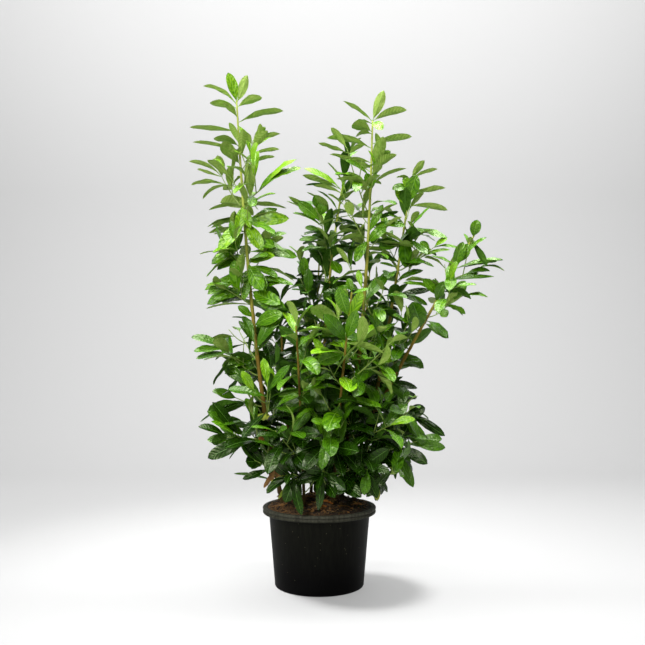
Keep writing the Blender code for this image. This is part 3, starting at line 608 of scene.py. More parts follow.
# The midrib and the leaf stalk are a paler, plain green, and so is a twig of this year. The midrib's darker
# copy is painted shade.
MIDRIB = plain_finish("laurel_midrib", "6a9a28", "84ac3c", 0.5, 0.01)
MIDRIB_PAINTED_SHADE = plain_finish("laurel_midrib_painted_shade", "3f6c18", "547e24", 0.5, 0.01)
GREEN_TWIG = plain_finish("laurel_green_twig", "6f8a30", "869a42", 0.5, 0.008)


def bark_finish():
    """Young bark: smooth, brown at the foot and greener higher up, with corky pores of a few millimetres."""
    made, tree, shader = new_material("laurel_young_bark")
    place = object_place(tree)
    height = add(tree, "SeparateXYZ", Vector=place).outputs["Z"]
    age = add(tree, "MapRange", {"From Min": 0.30, "From Max": 1.45}, Value=height).outputs["Result"]
    mixed = calculate(tree, "MULTIPLY_ADD", streaks(tree, place, 0.15, 60.0, 4.0), 0.35, age)
    tones = ((0.10, "241a08"), (0.35, "523e14"), (0.62, "806a26"), (0.85, "9a983e"), (1.0, "aab450"))
    pores = add(tree, "TexVoronoi", {"Scale": 220.0}, Vector=place).outputs["Distance"]
    shade(
        tree,
        shader,
        Base_Color=ramp(tree, mixed, *tones),
        Normal=bump(tree, pores, 0.4, 0.0008),
        Roughness=0.7,
        Specular_IOR_Level=0.15,
    )
    return made


def pot_finish():
    """Moulded black polypropylene: dull, with streaks down it and specks of dry soil, and painted light by
    height: black darkening towards the base as painted shade, a greyer rim lightest at its top as painted
    highlight, and a dark groove as painted shade.
    """
    made, tree, shader = new_material("moulded_black_polypropylene")
    place = object_place(tree)
    height = add(tree, "SeparateXYZ", Vector=place).outputs["Z"]
    scuffs = streaks(tree, place, 0.12, 130.0, 5.0)
    # Painted light by height: the wall darkens to pure black at the base as painted shade, the rim is a
    # lighter grey as painted highlight, and its groove a dark band as painted shade.
    wall = ((0.05, "000000"), (0.12, "090a06"), (0.248, "12130c"))
    groove = ((0.2590, "16160f"), (0.2608, "16160f"))
    rim = ((0.2515, "3c3c32"), (0.2580, "44443a"), *groove, (0.2618, "44443a"), (0.2705, "4c4c40"))
    black = ramp(tree, height, *wall, *rim)
    wear = ramp(tree, scuffs, (0.35, "b4b4b4"), (0.65, "ffffff"))
    worn = add(tree, "MixRGB", {"blend_type": "MULTIPLY", "Fac": 1.0}, Color1=black, Color2=wear)
    grains = add(tree, "TexVoronoi", {"Scale": 48.0}, Vector=place).outputs["Distance"]
    edge = {"From Min": 0.035, "From Max": 0.06, "To Min": 1.0, "To Max": 0.0}
    speck = add(tree, "MapRange", edge, Value=grains).outputs["Result"]
    mixed = add(tree, "MixRGB", {"Color2": linear("55533c")}, Fac=speck, Color1=worn.outputs["Color"])
    shade(
        tree,
        shader,
        Base_Color=mixed.outputs["Color"],
        Normal=bump(tree, scuffs, 0.25, 0.001),
        Roughness=0.6,
        Specular_IOR_Level=0.06,
    )
    return made


def soil_finish():
    """Compost: dark peat crumbs with ochre fibre between them, darker towards the right with painted shade."""
    made, tree, shader = new_material("peat_compost")
    place = object_place(tree)
    crumbs = noise(tree, place, 140.0, 6.0, 0.7)
    # Painted shade: the compost darkens towards the right.
    right = add(tree, "SeparateXYZ", Vector=place).outputs["X"]
    crumbs_and_painted_shade = calculate(tree, "MULTIPLY_ADD", right, -0.5, crumbs)
    colour = ramp(tree, crumbs_and_painted_shade, (0.30, "120d06"), (0.46, "2c2010"), (0.58, "583c1e"), (0.72, "825e34"))
    shade(tree, shader, Base_Color=colour, Normal=bump(tree, crumbs, 0.8, 0.004), Roughness=0.95)
    return made


BARK = bark_finish()
POT_PLASTIC = pot_finish()
COMPOST = soil_finish()
# Bits of pine bark from damp and dark to dry and ochre, and pale straw, all dull.
CHIP_TONES = (
    plain_finish("pine_bark_chip_dark", "1e160c", "342414", 0.9, 0.004),
    plain_finish("pine_bark_chip_brown", "44301a", "5e4424", 0.9, 0.004),
    plain_finish("pine_bark_chip_ochre", "76522a", "986e3a", 0.9, 0.004),
)
STRAW = plain_finish("dry_straw", "967242", "b49058", 0.8, 0.005)
# Leaves that have turned: dull brown, rust red with some sheen left, and yellow-green.
TURNED = {
    "withered": plain_finish("withered_laurel_leaf", "8c4a14", "b87426", 0.6, 0.012),
    "dead": plain_finish("dead_laurel_leaf", "5a3c18", "8c6428", 0.75, 0.012),
    "yellowing": plain_finish("yellowing_laurel_leaf", "6c8e18", "a6a630", 0.5, 0.012),
}


# Meshes from arrays


def grid(rows, columns, closed=False):
    """Corner numbers of the quads between a grid's points. closed joins its last column to its first."""
    steps = np.arange(columns if closed else columns - 1)
    row, column = np.meshgrid(np.arange(rows - 1), steps, indexing="ij")
    after = (column + 1) % columns
    here = row * columns
    above = here + columns
    return np.stack((here + column, here + after, above + after, above + column), -1).reshape(-1, 4)


def fan(ring, centre):
    """Corner numbers of the triangles between a closed ring of points and its centre."""
    return np.stack([ring, np.roll(ring, -1), np.full(len(ring), centre)], -1)


def new_piece(name, points, faces, finishes, which=None, uv=None, sharp=None):
    """A mesh from points and arrays of faces, each with its finish's number, as an object at the origin."""
    mesh = bpy.data.meshes.new(name)
    points = np.asarray(points, np.float32).reshape(-1, 3)
    corners = np.concatenate([block.ravel() for block in faces]).astype(np.int32)
    sizes = np.concatenate([np.full(len(block), block.shape[1]) for block in faces])
    mesh.vertices.add(len(points))
    mesh.vertices.foreach_set("co", points.ravel())
    mesh.loops.add(len(corners))
    mesh.loops.foreach_set("vertex_index", corners)
    mesh.polygons.add(len(sizes))
    mesh.polygons.foreach_set("loop_start", (np.cumsum(sizes) - sizes).astype(np.int32))
    if which is not None:
        mesh.polygons.foreach_set("material_index", np.concatenate(which).astype(np.int32))
    mesh.update(calc_edges=True)
    mesh.validate()
    if uv is not None:
        layer = mesh.uv_layers.new(name="blade")
        layer.data.foreach_set("uv", np.asarray(uv, np.float32)[corners].ravel())
    for finish in finishes:
        mesh.materials.append(finish)
    mesh.shade_smooth()
    if sharp is not None:
        mesh.set_sharp_from_angle(angle=math.radians(sharp))
    piece = bpy.data.objects.new(name, mesh)
    scene.collection.objects.link(piece)
    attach(piece, "root")
    return piece


def unit(vectors):
    """Vectors made one long."""
    return vectors / np.linalg.norm(vectors, axis=-1, keepdims=True)


def lattice_noise(points, size, seed):
    """Smooth noise in 0..1: random values on a cubic lattice of the given size, blended between its corners.

    The large odd numbers scatter a corner's place into a value that only seems random.
    """
    place = np.asarray(points) / size
    cell = np.floor(place).astype(np.int64)
    share = place - cell
    share = share * share * (3 - 2 * share)
    total = np.zeros(place.shape[:-1])
    for corner in np.ndindex(2, 2, 2):
        at = cell + corner
        mixed = at[..., 0] * 73856093 ^ at[..., 1] * 19349663 ^ at[..., 2] * 83492791 ^ seed * 2654435761
        mixed = (mixed ^ (mixed >> 13)) * 1274126177 & 0x7FFFFFFF
        value = (mixed ^ (mixed >> 16)) % 65536 / 65535
        weight = np.prod(np.where(np.array(corner) == 1, share, 1 - share), axis=-1)
        total += value * weight
    return total


# The pot and its soil


def lathe(profile, turns):
    """Points of a profile of (radius, height) turned about Z: x = r cos a, y = r sin a."""
    angle = np.linspace(0.0, TURN, turns, endpoint=False)
    radius, height = np.asarray(profile).T[..., None]
    x = radius * np.cos(angle)
    return np.stack([x, radius * np.sin(angle), np.broadcast_to(height, x.shape)], -1)


def closed_lathe(points, first_height, last_height):
    """A lathe's points and faces, with a fan to a point on the axis at each end."""
    rings, turns = points.shape[:2]
    every = np.concatenate([points.reshape(-1, 3), [(0, 0, first_height), (0, 0, last_height)]])
    first = np.arange(turns)
    last = first + (rings - 1) * turns
    ends = np.concatenate([fan(first, len(every) - 2), fan(last, len(every) - 1)[:, ::-1]])
    return every, [grid(rings, turns, closed=True)[:, ::-1], ends]


def inner_radius(height):
    """The inside radius of the pot's wall at a height."""
    share = height / (POT_HEIGHT - RIM_HEIGHT)
    return WALL_BASE_RADIUS + (WALL_TOP_RADIUS - WALL_BASE_RADIUS) * share - WALL


def make_pot():
    """The pot: tapered wall under a rolled rim that has two rounded ridges with a groove between them."""
    turns = 180
    lip = POT_HEIGHT - RIM_HEIGHT
    mouth = RIM_RADIUS - RIM_WIDTH
    ridge = RIM_HEIGHT * RIDGE_SHARE
    angle = np.linspace(math.radians(100), math.radians(-80), 10)

    def rounded(angles, inset, drop):
        """The section of a ridge, set in and so many of its radii down."""
        return [
            (RIM_RADIUS - ridge * (1 - math.cos(a)) - inset, POT_HEIGHT - ridge * (drop - math.sin(a)))
            for a in angles
        ]

    # From the middle of the floor up the inside, over the rim and down the outside. Small steps
    # round the corners.
    profile = [
        (HUB, FLOOR),
        (inner_radius(FLOOR), FLOOR),
        (inner_radius(lip), lip),
        (mouth - 0.003, POT_HEIGHT - 0.003),
        (mouth - 0.001, POT_HEIGHT - 0.0005),
        (mouth + 0.001, POT_HEIGHT),
        *rounded(angle, 0.0, 1.0),
        *rounded(angle[2:], 0.0006, 3.1),
        (RIM_RADIUS - 0.006, lip),
        (WALL_TOP_RADIUS + 0.004, lip),
        (WALL_TOP_RADIUS + 0.0012, lip - 0.0015),
        (WALL_TOP_RADIUS, lip - 0.005),
        (WALL_BASE_RADIUS + 0.0008, BASE_CORNER + 0.012),
        (WALL_BASE_RADIUS, BASE_CORNER),
        (WALL_BASE_RADIUS - 0.001, 0.001),
        (WALL_BASE_RADIUS - BASE_CORNER, 0.0),
        (HUB, 0.0),
    ]
    points, faces = closed_lathe(lathe(profile, turns), FLOOR, 0.0)
    piece = new_piece("nursery_pot", points, faces, [POT_PLASTIC], sharp=35)
    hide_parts("pot")
    return piece


def mound(radius):
    """The soil's height at a distance from the pot's axis."""
    return SOIL_EDGE + MOUND_HEIGHT * (1 - np.minimum(1.0, radius / SOIL_RADIUS) ** 2)


def soil_height(x, y):
    """The mound with crumbs on it, which lie flat against the pot's wall."""
    radius = np.hypot(x, y)
    place = np.stack([x, y, np.zeros_like(x)], -1)
    crumbs = sum((lattice_noise(place, size, 1 + i) - 0.5) * high for i, (size, high) in enumerate(CRUMBS))
    return mound(radius) + crumbs * np.clip((SOIL_RADIUS - radius) / CRUMB_EDGE, CRUMB_LEAST, 1.0)


def make_soil():
    """The compost's surface, over a plug that fills the pot."""
    turns = 240
    rings = 70
    top = lathe([(r, 0.0) for r in np.linspace(0.001, SOIL_RADIUS - SOIL_GAP, rings)], turns)
    top[..., 2] = soil_height(top[..., 0], top[..., 1])
    bottom = FLOOR + SOIL_GAP
    heights = (POT_HEIGHT - RIM_HEIGHT - 0.001, bottom)
    below = lathe([(inner_radius(z) - SOIL_GAP, z) for z in heights], turns)
    points, faces = closed_lathe(np.concatenate([top, below]), top[0, :, 2].mean(), bottom)
    piece = new_piece("compost_surface", points, faces, [COMPOST])
    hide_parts("soil")


def scattered(count, chance, reach=LITTER_REACH):
    """Random places on the mound, even over its area, with the surface's height there."""
    radius = SOIL_RADIUS * reach * np.sqrt(chance.random(count))
    angle = chance.uniform(0, TURN, count)
    x, y = radius * np.cos(angle), radius * np.sin(angle)
    return np.stack([x, y, soil_height(x, y)], -1)


def turned_frames(chance, count, tilt):
    """Random frames, each turned about Z and tilted by up to so much."""
    heading = chance.uniform(0, TURN, count)
    lean = chance.uniform(0, tilt, count)
    toward = chance.uniform(0, TURN, count)
    normal = np.stack([np.sin(lean) * np.cos(toward), np.sin(lean) * np.sin(toward), np.cos(lean)], -1)
    along = np.stack([np.cos(heading), np.sin(heading), np.zeros(count)], -1)
    along = unit(along - normal * np.sum(along * normal, -1, keepdims=True))
    return along, np.cross(normal, along), normal


def make_bits(name, count, half_sizes, tilt, finishes, shares, seed):
    """Small litter: boxes whose eight corners are moved at random, so that no two are alike."""
    chance = np.random.default_rng(seed)
    place = scattered(count, chance)
    frames = np.stack(turned_frames(chance, count, tilt), 1)
    size = np.stack([chance.uniform(least, most, count) for least, most in half_sizes], -1)
    corners = np.array([(x, y, z) for z in (-1, 1) for y in (-1, 1) for x in (-1, 1)], float)
    shape = corners * (1 + chance.uniform(*BIT_SKEW, (count, 8, 3))) * size[:, None]
    points = place[:, None] + np.einsum("nki,nij->nkj", shape, frames)
    box = np.array([(0, 2, 3, 1), (4, 5, 7, 6), (0, 1, 5, 4), (2, 6, 7, 3), (0, 4, 6, 2), (1, 3, 7, 5)])
    quads = (box + 8 * np.arange(count)[:, None, None]).reshape(-1, 4)
    tone = np.repeat(chance.choice(len(finishes), count, p=shares), 6)
    piece = new_piece(name, points, [quads], finishes, [tone], sharp=20)


def make_litter():
    """Bark chips, and straw and fine twigs among them. Half sizes are along, across and thick."""
    make_bits(
        "bark_chips",
        count=620,
        half_sizes=((0.003, 0.011), (0.002, 0.006), (0.0008, 0.0025)),
        tilt=0.7,
        finishes=CHIP_TONES,
        shares=(0.45, 0.35, 0.2),
        seed=11,
    )
    make_bits(
        "straw_litter",
        count=130,
        half_sizes=((0.008, 0.024), (0.0006, 0.0012), (0.0004, 0.0008)),
        tilt=0.25,
        finishes=(STRAW, CHIP_TONES[1]),
        shares=(0.6, 0.4),
        seed=12,
    )


# Courses


class Course:
    """The line that a stem or twig follows, with its radii and the length of its leaves."""

    def __init__(self, points, radius, tip_radius, leaf):
        self.points = np.asarray(points)
        self.leaf = leaf
        steps = np.linalg.norm(np.diff(self.points, axis=0), axis=1)
        self.gone = np.concatenate([[0.0], np.cumsum(steps)])
        self.length = self.gone[-1]
        self.radius = radius
        self.tip_radius = tip_radius

    def place(self, distance):
        """Points at distances from the foot."""
        return np.stack([np.interp(distance, self.gone, self.points[:, i]) for i in range(3)], -1)

    def along(self, distance):
        """Directions at distances from the foot."""
        step = self.length * DIRECTION_STEP
        ahead = self.place(np.minimum(distance + step, self.length))
        return unit(ahead - self.place(np.maximum(distance - step, 0.0)))

    def at_height(self, height):
        """The distance from the foot at which the course first reaches a height."""
        return np.interp(height, np.maximum.accumulate(self.points[:, 2]), self.gone)

    def radius_at(self, distance):
        """The radius: r + (t - r) s^p at a share s of the length."""
        return self.radius + (self.tip_radius - self.radius) * (distance / self.length) ** TAPER

    def part(self, start, end):
        """The stretch of this course between two distances."""
        distance = np.linspace(start, end, len(self.points))
        return Course(self.place(distance), self.radius_at(start), self.radius_at(end), self.leaf)


def bend(foot, knee, tip, bends):
    """The curve that leaves foot towards knee and comes to tip from it: f (1-s)^2 + 2 k s (1-s) + t s^2."""
    share = np.linspace(0.0, 1.0, bends + 1)[:, None]
    middle = np.asarray(knee) * 2 * share * (1 - share)
    return np.asarray(foot) * (1 - share) ** 2 + middle + np.asarray(tip) * share**2


def across(along, turn):
    """Directions square to others, at angles round them. The small push gives an upright one a side too."""
    side = unit(np.cross(along, UP) + np.array((1e-6, 0, 0)))
    turn = np.asarray(turn)[..., None]
    return side * np.cos(turn) + np.cross(along, side) * np.sin(turn)


def stem_course(stem):
    """A stem's whole course, from the soil."""
    foot = np.array((*stem.foot, mound(math.hypot(*stem.foot)) - FOOT_SUNK))
    return Course(bend(foot, stem.knee, stem.tip, STEM_BENDS), stem.radius, TIP_RADIUS, stem.leaf)


def side_course(parent, at, tip, radius, tip_radius, leaf, lift=0.0, knee=None):
    """The course of a bough or shoot that leaves another square to it, from inside it."""
    tip = np.asarray(tip)
    distance = parent.at_height(at)
    place = parent.place(distance)
    along = parent.along(distance)
    out = tip - place
    out = unit(out - along * (out @ along))
    collar = place + out * (parent.radius_at(distance) + radius * COLLAR)
    if knee is None:
        knee = (collar + tip) / 2 + UP * lift * np.linalg.norm(tip - collar)
    return Course(np.concatenate([[place], bend(collar, knee, tip, SIDE_BENDS)]), radius, tip_radius, leaf)


def spur_courses(course, spurs, first, last, seed):
    """Short twigs that branch from a course by the golden angle, between two shares of its length."""
    chance = np.random.default_rng(seed)
    leaf = course.leaf * SPUR_LEAF
    made = []
    turn = chance.uniform(0.0, TURN)
    for i in range(spurs):
        share = first + (last - first) * (i + 0.5) / spurs
        place = course.place(course.length * share)
        along = course.along(course.length * share)
        turn += GOLDEN_ANGLE
        length = SPUR_LENGTH * chance.uniform(*SPUR_LENGTH_RANGE)
        out = unit(along + across(along, turn) * SPUR_SPREAD) * length
        tip = place + out * SPUR_OUT + UP * length * SPUR_RISE
        points = bend(place, place + out / 2, tip, SPUR_BENDS)
        made.append(Course(points, SPUR_RADIUS, TWIG_TIP_RADIUS, leaf))
    return made


def spur_twigs(courses, seed, tone, first):
    """Spurs as twigs, each bare for a share of its length and with a seed of its own, numbered from first."""
    return [
        Twig(course, course.length * BARE_SHARE, (seed, number), tone, 0.0)
        for number, course in enumerate(courses, first)
    ]


def with_spurs(name, course, bare, spurs, seed):
    """A limb's own twig, bare for some length, and its spurs."""
    tone = TONES.get(name, 0.0)
    own = Twig(course, bare, (seed, 0), tone, FREE_ENDS.get(name, 0.0))
    return [own, *spur_twigs(spur_courses(course, spurs, SPUR_FIRST, SPUR_LAST, seed), seed, tone, 1)]


def filling_twigs(limbs):
    """Spurs straight on the stems, which fill the clump below the leafy tops."""
    made = []
    for number, stem in enumerate(STEMS):
        course = limbs[stem.name]
        low = course.at_height(FILL_LOWEST) / course.length
        high = course.at_height(stem.bare) / course.length
        count = int(course.length * (high - low) / FILL_SPACING)
        seed = FILL_SEED + number
        # The filling leaves are darkened with painted shade.
        made += spur_twigs(spur_courses(course, count, low, high, seed), seed, FILL_PAINTED_SHADE, 0)
    return made


def back_shoots(limbs):
    """Shoots for the back of the clump, spread over it by the golden angle."""
    made = []
    side_reach, back_reach, rise = BACK_REACH
    for i in range(BACK_SHOOTS):
        share = (i * GOLDEN_ANGLE / TURN) % 1.0
        parent = BACK_STEMS[int(share * len(BACK_STEMS))]
        height = BACK_LOWEST + BACK_STEP * i
        place = limbs[parent].place(limbs[parent].at_height(height))
        angle = math.radians(BACK_START + BACK_ARC * share)
        tip = place + np.array((math.cos(angle) * side_reach, math.sin(angle) * back_reach, rise))
        made.append(Shoot(f"back_{i + 1:02d}", parent, height, tip, BACK_LIFT, BACK_LEAF, 1, BACK_SEED + i))
    return made


def plan():
    """Every limb's whole course, every course by name, and every mass's twigs, its own stem's first."""
    limbs = {}
    masses = {}
    for limb in (*STEMS, *BOUGHS):
        if isinstance(limb, Stem):
            whole = stem_course(limb)
        else:
            parent = limbs[limb.parent]
            whole = side_course(parent, limb.at, limb.tip, limb.radius, TIP_RADIUS, limb.leaf, knee=limb.knee)
        limbs[limb.name] = whole
        top = whole.part(whole.at_height(limb.bare), whole.length)
        masses[limb.name + "_top"] = with_spurs(limb.name, top, 0.0, limb.spurs, limb.seed)
    courses = dict(limbs)
    for shoot in (*SHOOTS, *back_shoots(limbs)):
        parent = limbs[shoot.parent.removesuffix("_top")]
        radii = (TWIG_RADIUS, TWIG_TIP_RADIUS)
        course = side_course(parent, shoot.at, shoot.tip, *radii, shoot.leaf, shoot.lift)
        courses[shoot.name] = course
        spurs = shoot.spurs + MORE_SPURS
        twigs = with_spurs(shoot.name, course, course.length * BARE_SHARE, spurs, shoot.seed)
        if shoot.parent in masses:
            masses[shoot.parent].extend(twigs)
        else:
            masses["shoot_" + shoot.name] = twigs
    return limbs, courses, masses


# Leaves, as one table of arrays for the whole plant


def free_leaf(row):
    """A free leaf from its row, in metres and as a share."""
    *sizes, face = row
    return FreeLeaf(*(size / 1000 for size in sizes), face / 100)


def free_leaves(courses, table, seed):
    """Leaves given one by one, limb by limb, as a table like that of the others."""
    chance = np.random.default_rng(seed)
    places = [(courses[limb], free_leaf(row)) for limb, rows in table.items() for row in rows]
    leaves = [leaf for _, leaf in places]
    count = len(leaves)
    span = np.array([(leaf.reach, -leaf.front, leaf.rise) for leaf in leaves])
    face = np.array([leaf.face for leaf in leaves])[:, None]
    along = unit(span)
    normal = UP * (1 - np.abs(face)) + np.array((0.0, -1.0, 0.0)) * face
    shapes = blade_shapes(count, chance)
    shapes["arch"] *= FREE_ARCH
    return {
        "root": np.array([course.place(course.at_height(leaf.height)) for course, leaf in places]),
        "along": along,
        "normal": unit(normal - along * np.sum(normal * along, -1, keepdims=True)),
        "length": np.linalg.norm(span, axis=1) * ARCH_STRETCH,
        "width": np.array([leaf.width for leaf in leaves]),
        "age": np.full(count, FREE_AGE),
        "spray": chance.random(count),
        **shapes,
    }


def fallen_leaves(count, seed):
    """Dry leaves that lie on the soil, curled."""
    chance = np.random.default_rng(seed)
    root = scattered(count, chance, FALLEN_REACH) + UP * FALLEN_LIFT
    along, _, normal = turned_frames(chance, count, FALLEN_TILT)
    shapes = blade_shapes(count, chance)
    shapes["fold"] *= FALLEN_FOLD
    length = chance.uniform(*FALLEN_LENGTH, count)
    return {
        "root": root,
        "along": along,
        "normal": normal,
        "length": length,
        "width": length * chance.uniform(*FALLEN_WIDTH, count),
        "age": np.full(count, FREE_AGE),
        "spray": np.full(count, 0.5),
        **shapes,
    }


def blade_shapes(count, chance):
    """How each of so many blades is bent."""
    return {
        "arch": chance.normal(ARCH, ARCH_SCATTER, count),
        "fold": np.abs(chance.normal(FOLD, FOLD_SCATTER, count)),
        "twist": chance.normal(0, TWIST_SCATTER, count),
        "sway": chance.normal(0, SWAY_SCATTER, count),
        "wave": chance.uniform(0.0, WAVE, count),
        "phase": chance.uniform(0, TURN, count),
    }


def leaves_along(twig):
    """The leaves of one twig, from its tip down to where it is bare."""
    course, bare = twig.course, twig.bare
    chance = np.random.default_rng(twig.seed)
    number = np.arange(int((course.length - bare) / LEAF_SPACING) + TIP_LEAVES + 2)
    gaps = TIP_SPACING + (LEAF_SPACING - TIP_SPACING) * np.minimum(1.0, (number + 1) / TIP_LEAVES)
    distance = course.length - TWIG_RADIUS - (np.cumsum(gaps) - gaps)
    here = (distance > bare) & (distance < course.length - twig.free)
    number = number[here]
    distance = distance[here]
    count = len(distance)
    place = course.place(distance)
    along = course.along(distance)
    below_tip = course.length - distance
    spread = 1 - np.exp(-below_tip / TIP_STRETCH)
    angle = (TIP_ANGLE + (LOW_ANGLE - TIP_ANGLE) * spread + chance.normal(0, ANGLE_SCATTER, count))[:, None]
    turn = chance.uniform(0, TURN) + number * GOLDEN_ANGLE + chance.normal(0, TURN_SCATTER, count)
    out = across(along, turn)
    low, high = DROOP_HEIGHTS
    lowness = np.clip((high - place[:, 2]) / (high - low), 0, 1)
    hang = TIP_DROOP_SHARE + (1 - TIP_DROOP_SHARE) * spread
    droop = HIGH_DROOP + (LOW_DROOP - HIGH_DROOP) * lowness * hang
    direction = unit(along * np.cos(angle) + out * np.sin(angle) - UP * droop[:, None])
    normal = along * np.sin(angle) - out * np.cos(angle) + UP * FACE_UP
    normal = unit(normal - direction * np.sum(normal * direction, -1, keepdims=True))
    roll = chance.normal(0, ROLL_SCATTER, count)[:, None]
    normal = normal * np.cos(roll) + np.cross(direction, normal) * np.sin(roll)
    young = YOUNG_LENGTH + (1 - YOUNG_LENGTH) * np.minimum(1.0, below_tip / YOUNG_STRETCH)
    length = course.leaf * young * chance.uniform(*LENGTH_RANGE, count)
    length = length * np.interp(place[:, 2], WIDTH_HEIGHTS, (LOW_LENGTH, 1.0))
    width = length * np.interp(place[:, 2], WIDTH_HEIGHTS, LEAF_WIDTH) * chance.uniform(*WIDTH_RANGE, count)
    return {
        "root": place,
        "along": direction,
        "normal": normal,
        "length": length,
        "width": width,
        "age": below_tip,
        "spray": np.full(count, chance.random() + twig.tone),
        **blade_shapes(count, chance),
    }


def joined(tables):
    """Tables of leaves as one."""
    return {key: np.concatenate([table[key] for table in tables]) for key in tables[0]}


# Places along a leaf from its root, and across it from -1 to 1. The two columns by the middle
# bound the midrib.
ROWS = np.array((0.0, 0.045, 0.09, 0.17, 0.29, 0.42, 0.56, 0.70, 0.83, 0.93, 1.0))
COLUMNS = np.array((-1.0, -0.55, -0.035, 0.035, 0.55, 1.0))
RIB = np.abs(COLUMNS) < 0.1
RIB_STRIP = 2  # the number of the strip between those two columns
RIB_DEPTH = 0.0004
RIB_THICKNESS = 0.0020
BLADE_THICKNESS = 0.0006
BLADE_ROOT, BLADE_TIP = 0.95, 0.68
PETIOLE = 0.09
PETIOLE_WIDTH = 0.0026
PETIOLE_TAPER = 0.8
ABOVE, BELOW, MIDDLE = 0, 1, 2  # the finishes of a leaf


def half_width():
    """A leaf's half width by row over its greatest: b^p (1-b)^q along the blade, none on the petiole."""
    blade = np.clip((ROWS - PETIOLE) / (1 - PETIOLE), 0, 1)
    widest = BLADE_ROOT / (BLADE_ROOT + BLADE_TIP)
    most = widest**BLADE_ROOT * (1 - widest) ** BLADE_TIP
    return blade**BLADE_ROOT * (1 - blade) ** BLADE_TIP / most


def blade_points(leaves):
    """The points of every leaf.

    Its middle line bends in the plane of along and normal, its direction turning evenly from above the
    straight line between root and tip to below it. Across, the two halves rise from the midrib by the fold's
    angle, and their edges curl down and wave. The underside lies a blade's thickness below, and further along
    the midrib.
    """
    count = len(leaves["length"])
    length = leaves["length"][:, None]
    arch, twist, sway = (leaves[key][:, None] for key in ("arch", "twist", "sway"))
    fold, wave, phase = (leaves[key][:, None, None] for key in ("fold", "wave", "phase"))
    side = np.cross(leaves["along"], leaves["normal"])[:, None]
    along = leaves["along"][:, None]
    normal = leaves["normal"][:, None]

    middle = (ROWS[1:] + ROWS[:-1]) / 2
    climb = arch * (0.5 - middle)
    drift = sway * (0.5 - middle)
    heading = along * np.cos(climb)[..., None] + normal * np.sin(climb)[..., None]
    heading = heading + side * np.sin(drift)[..., None]
    steps = unit(heading) * (np.diff(ROWS) * length)[..., None]
    walked = np.concatenate([np.zeros((count, 1, 3)), np.cumsum(steps, axis=1)], axis=1)
    line = walked + leaves["root"][:, None]

    climb = arch * (0.5 - ROWS)
    lift = normal * np.cos(climb)[..., None] - along * np.sin(climb)[..., None]
    turn = (twist * ROWS)[..., None]
    beam = side * np.cos(turn) + lift * np.sin(turn)
    lift = lift * np.cos(turn) - side * np.sin(turn)

    half = half_width() * leaves["width"][:, None] / 2
    half = np.maximum(half, PETIOLE_WIDTH / 2 * (1 - PETIOLE_TAPER * ROWS))[..., None]
    share = np.abs(COLUMNS)
    rise = half * np.sin(fold) * (share - EDGE_CURL * share**2)
    waves = np.sin(TURN * EDGE_WAVES * ROWS[:, None] + phase + np.sign(COLUMNS))
    rise = rise + half * wave * share**2 * waves
    rise[..., RIB] -= RIB_DEPTH
    aside = beam[:, :, None] * (half * COLUMNS)[..., None]
    upper = line[:, :, None] + aside + lift[:, :, None] * rise[..., None]
    thickness = np.where(RIB, RIB_THICKNESS, BLADE_THICKNESS)[1:-1]
    lower = upper[:, 1:-1, 1:-1] - lift[:, 1:-1, None] * thickness[:, None]
    return np.concatenate([upper.reshape(count, -1, 3), lower.reshape(count, -1, 3)], axis=1)


def blade_faces():
    """One leaf's faces and which finish each takes. The midrib's is also that of the petiole."""
    rows, columns = len(ROWS), len(COLUMNS)
    upper = np.arange(rows * columns).reshape(rows, columns)
    lower = upper.copy()
    lower[1:-1, 1:-1] = rows * columns + np.arange((rows - 2) * (columns - 2)).reshape(rows - 2, columns - 2)

    def halves(numbers):
        """Two triangles to each cell of a sheet, split along one diagonal, so that two sheets never cross."""
        a, b, c, d = numbers[:-1, :-1], numbers[:-1, 1:], numbers[1:, 1:], numbers[1:, :-1]
        return np.stack([a, b, c, a, c, d], -1).reshape(-1, 3)

    strip = np.tile(np.arange(columns - 1), rows - 1)
    row = np.repeat(np.arange(rows - 1), columns - 1)
    rib = (strip == RIB_STRIP) | (ROWS[row + 1] <= PETIOLE)
    faces = np.concatenate([halves(upper), halves(lower)[:, ::-1]])
    return faces, np.concatenate([np.where(rib, MIDDLE, ABOVE), np.where(rib, MIDDLE, BELOW)]).repeat(2)


def blade_map():
    """The place across and along of each of one leaf's points."""
    both = np.stack(np.meshgrid(COLUMNS, ROWS), -1)
    return np.concatenate([both.reshape(-1, 2), both[1:-1, 1:-1].reshape(-1, 2)])


def make_leaves(name, leaves, finishes):
    """One joined piece of leaves in one tone."""
    points = blade_points(leaves)
    count, each = points.shape[:2]
    halves, which = blade_faces()
    faces = (halves + each * np.arange(count)[:, None, None]).reshape(-1, 3)
    uv = np.tile(blade_map(), (count, 1))
    return new_piece(name, points, [faces], finishes, [np.tile(which, count)], uv=uv, sharp=60)


# Stems and twigs


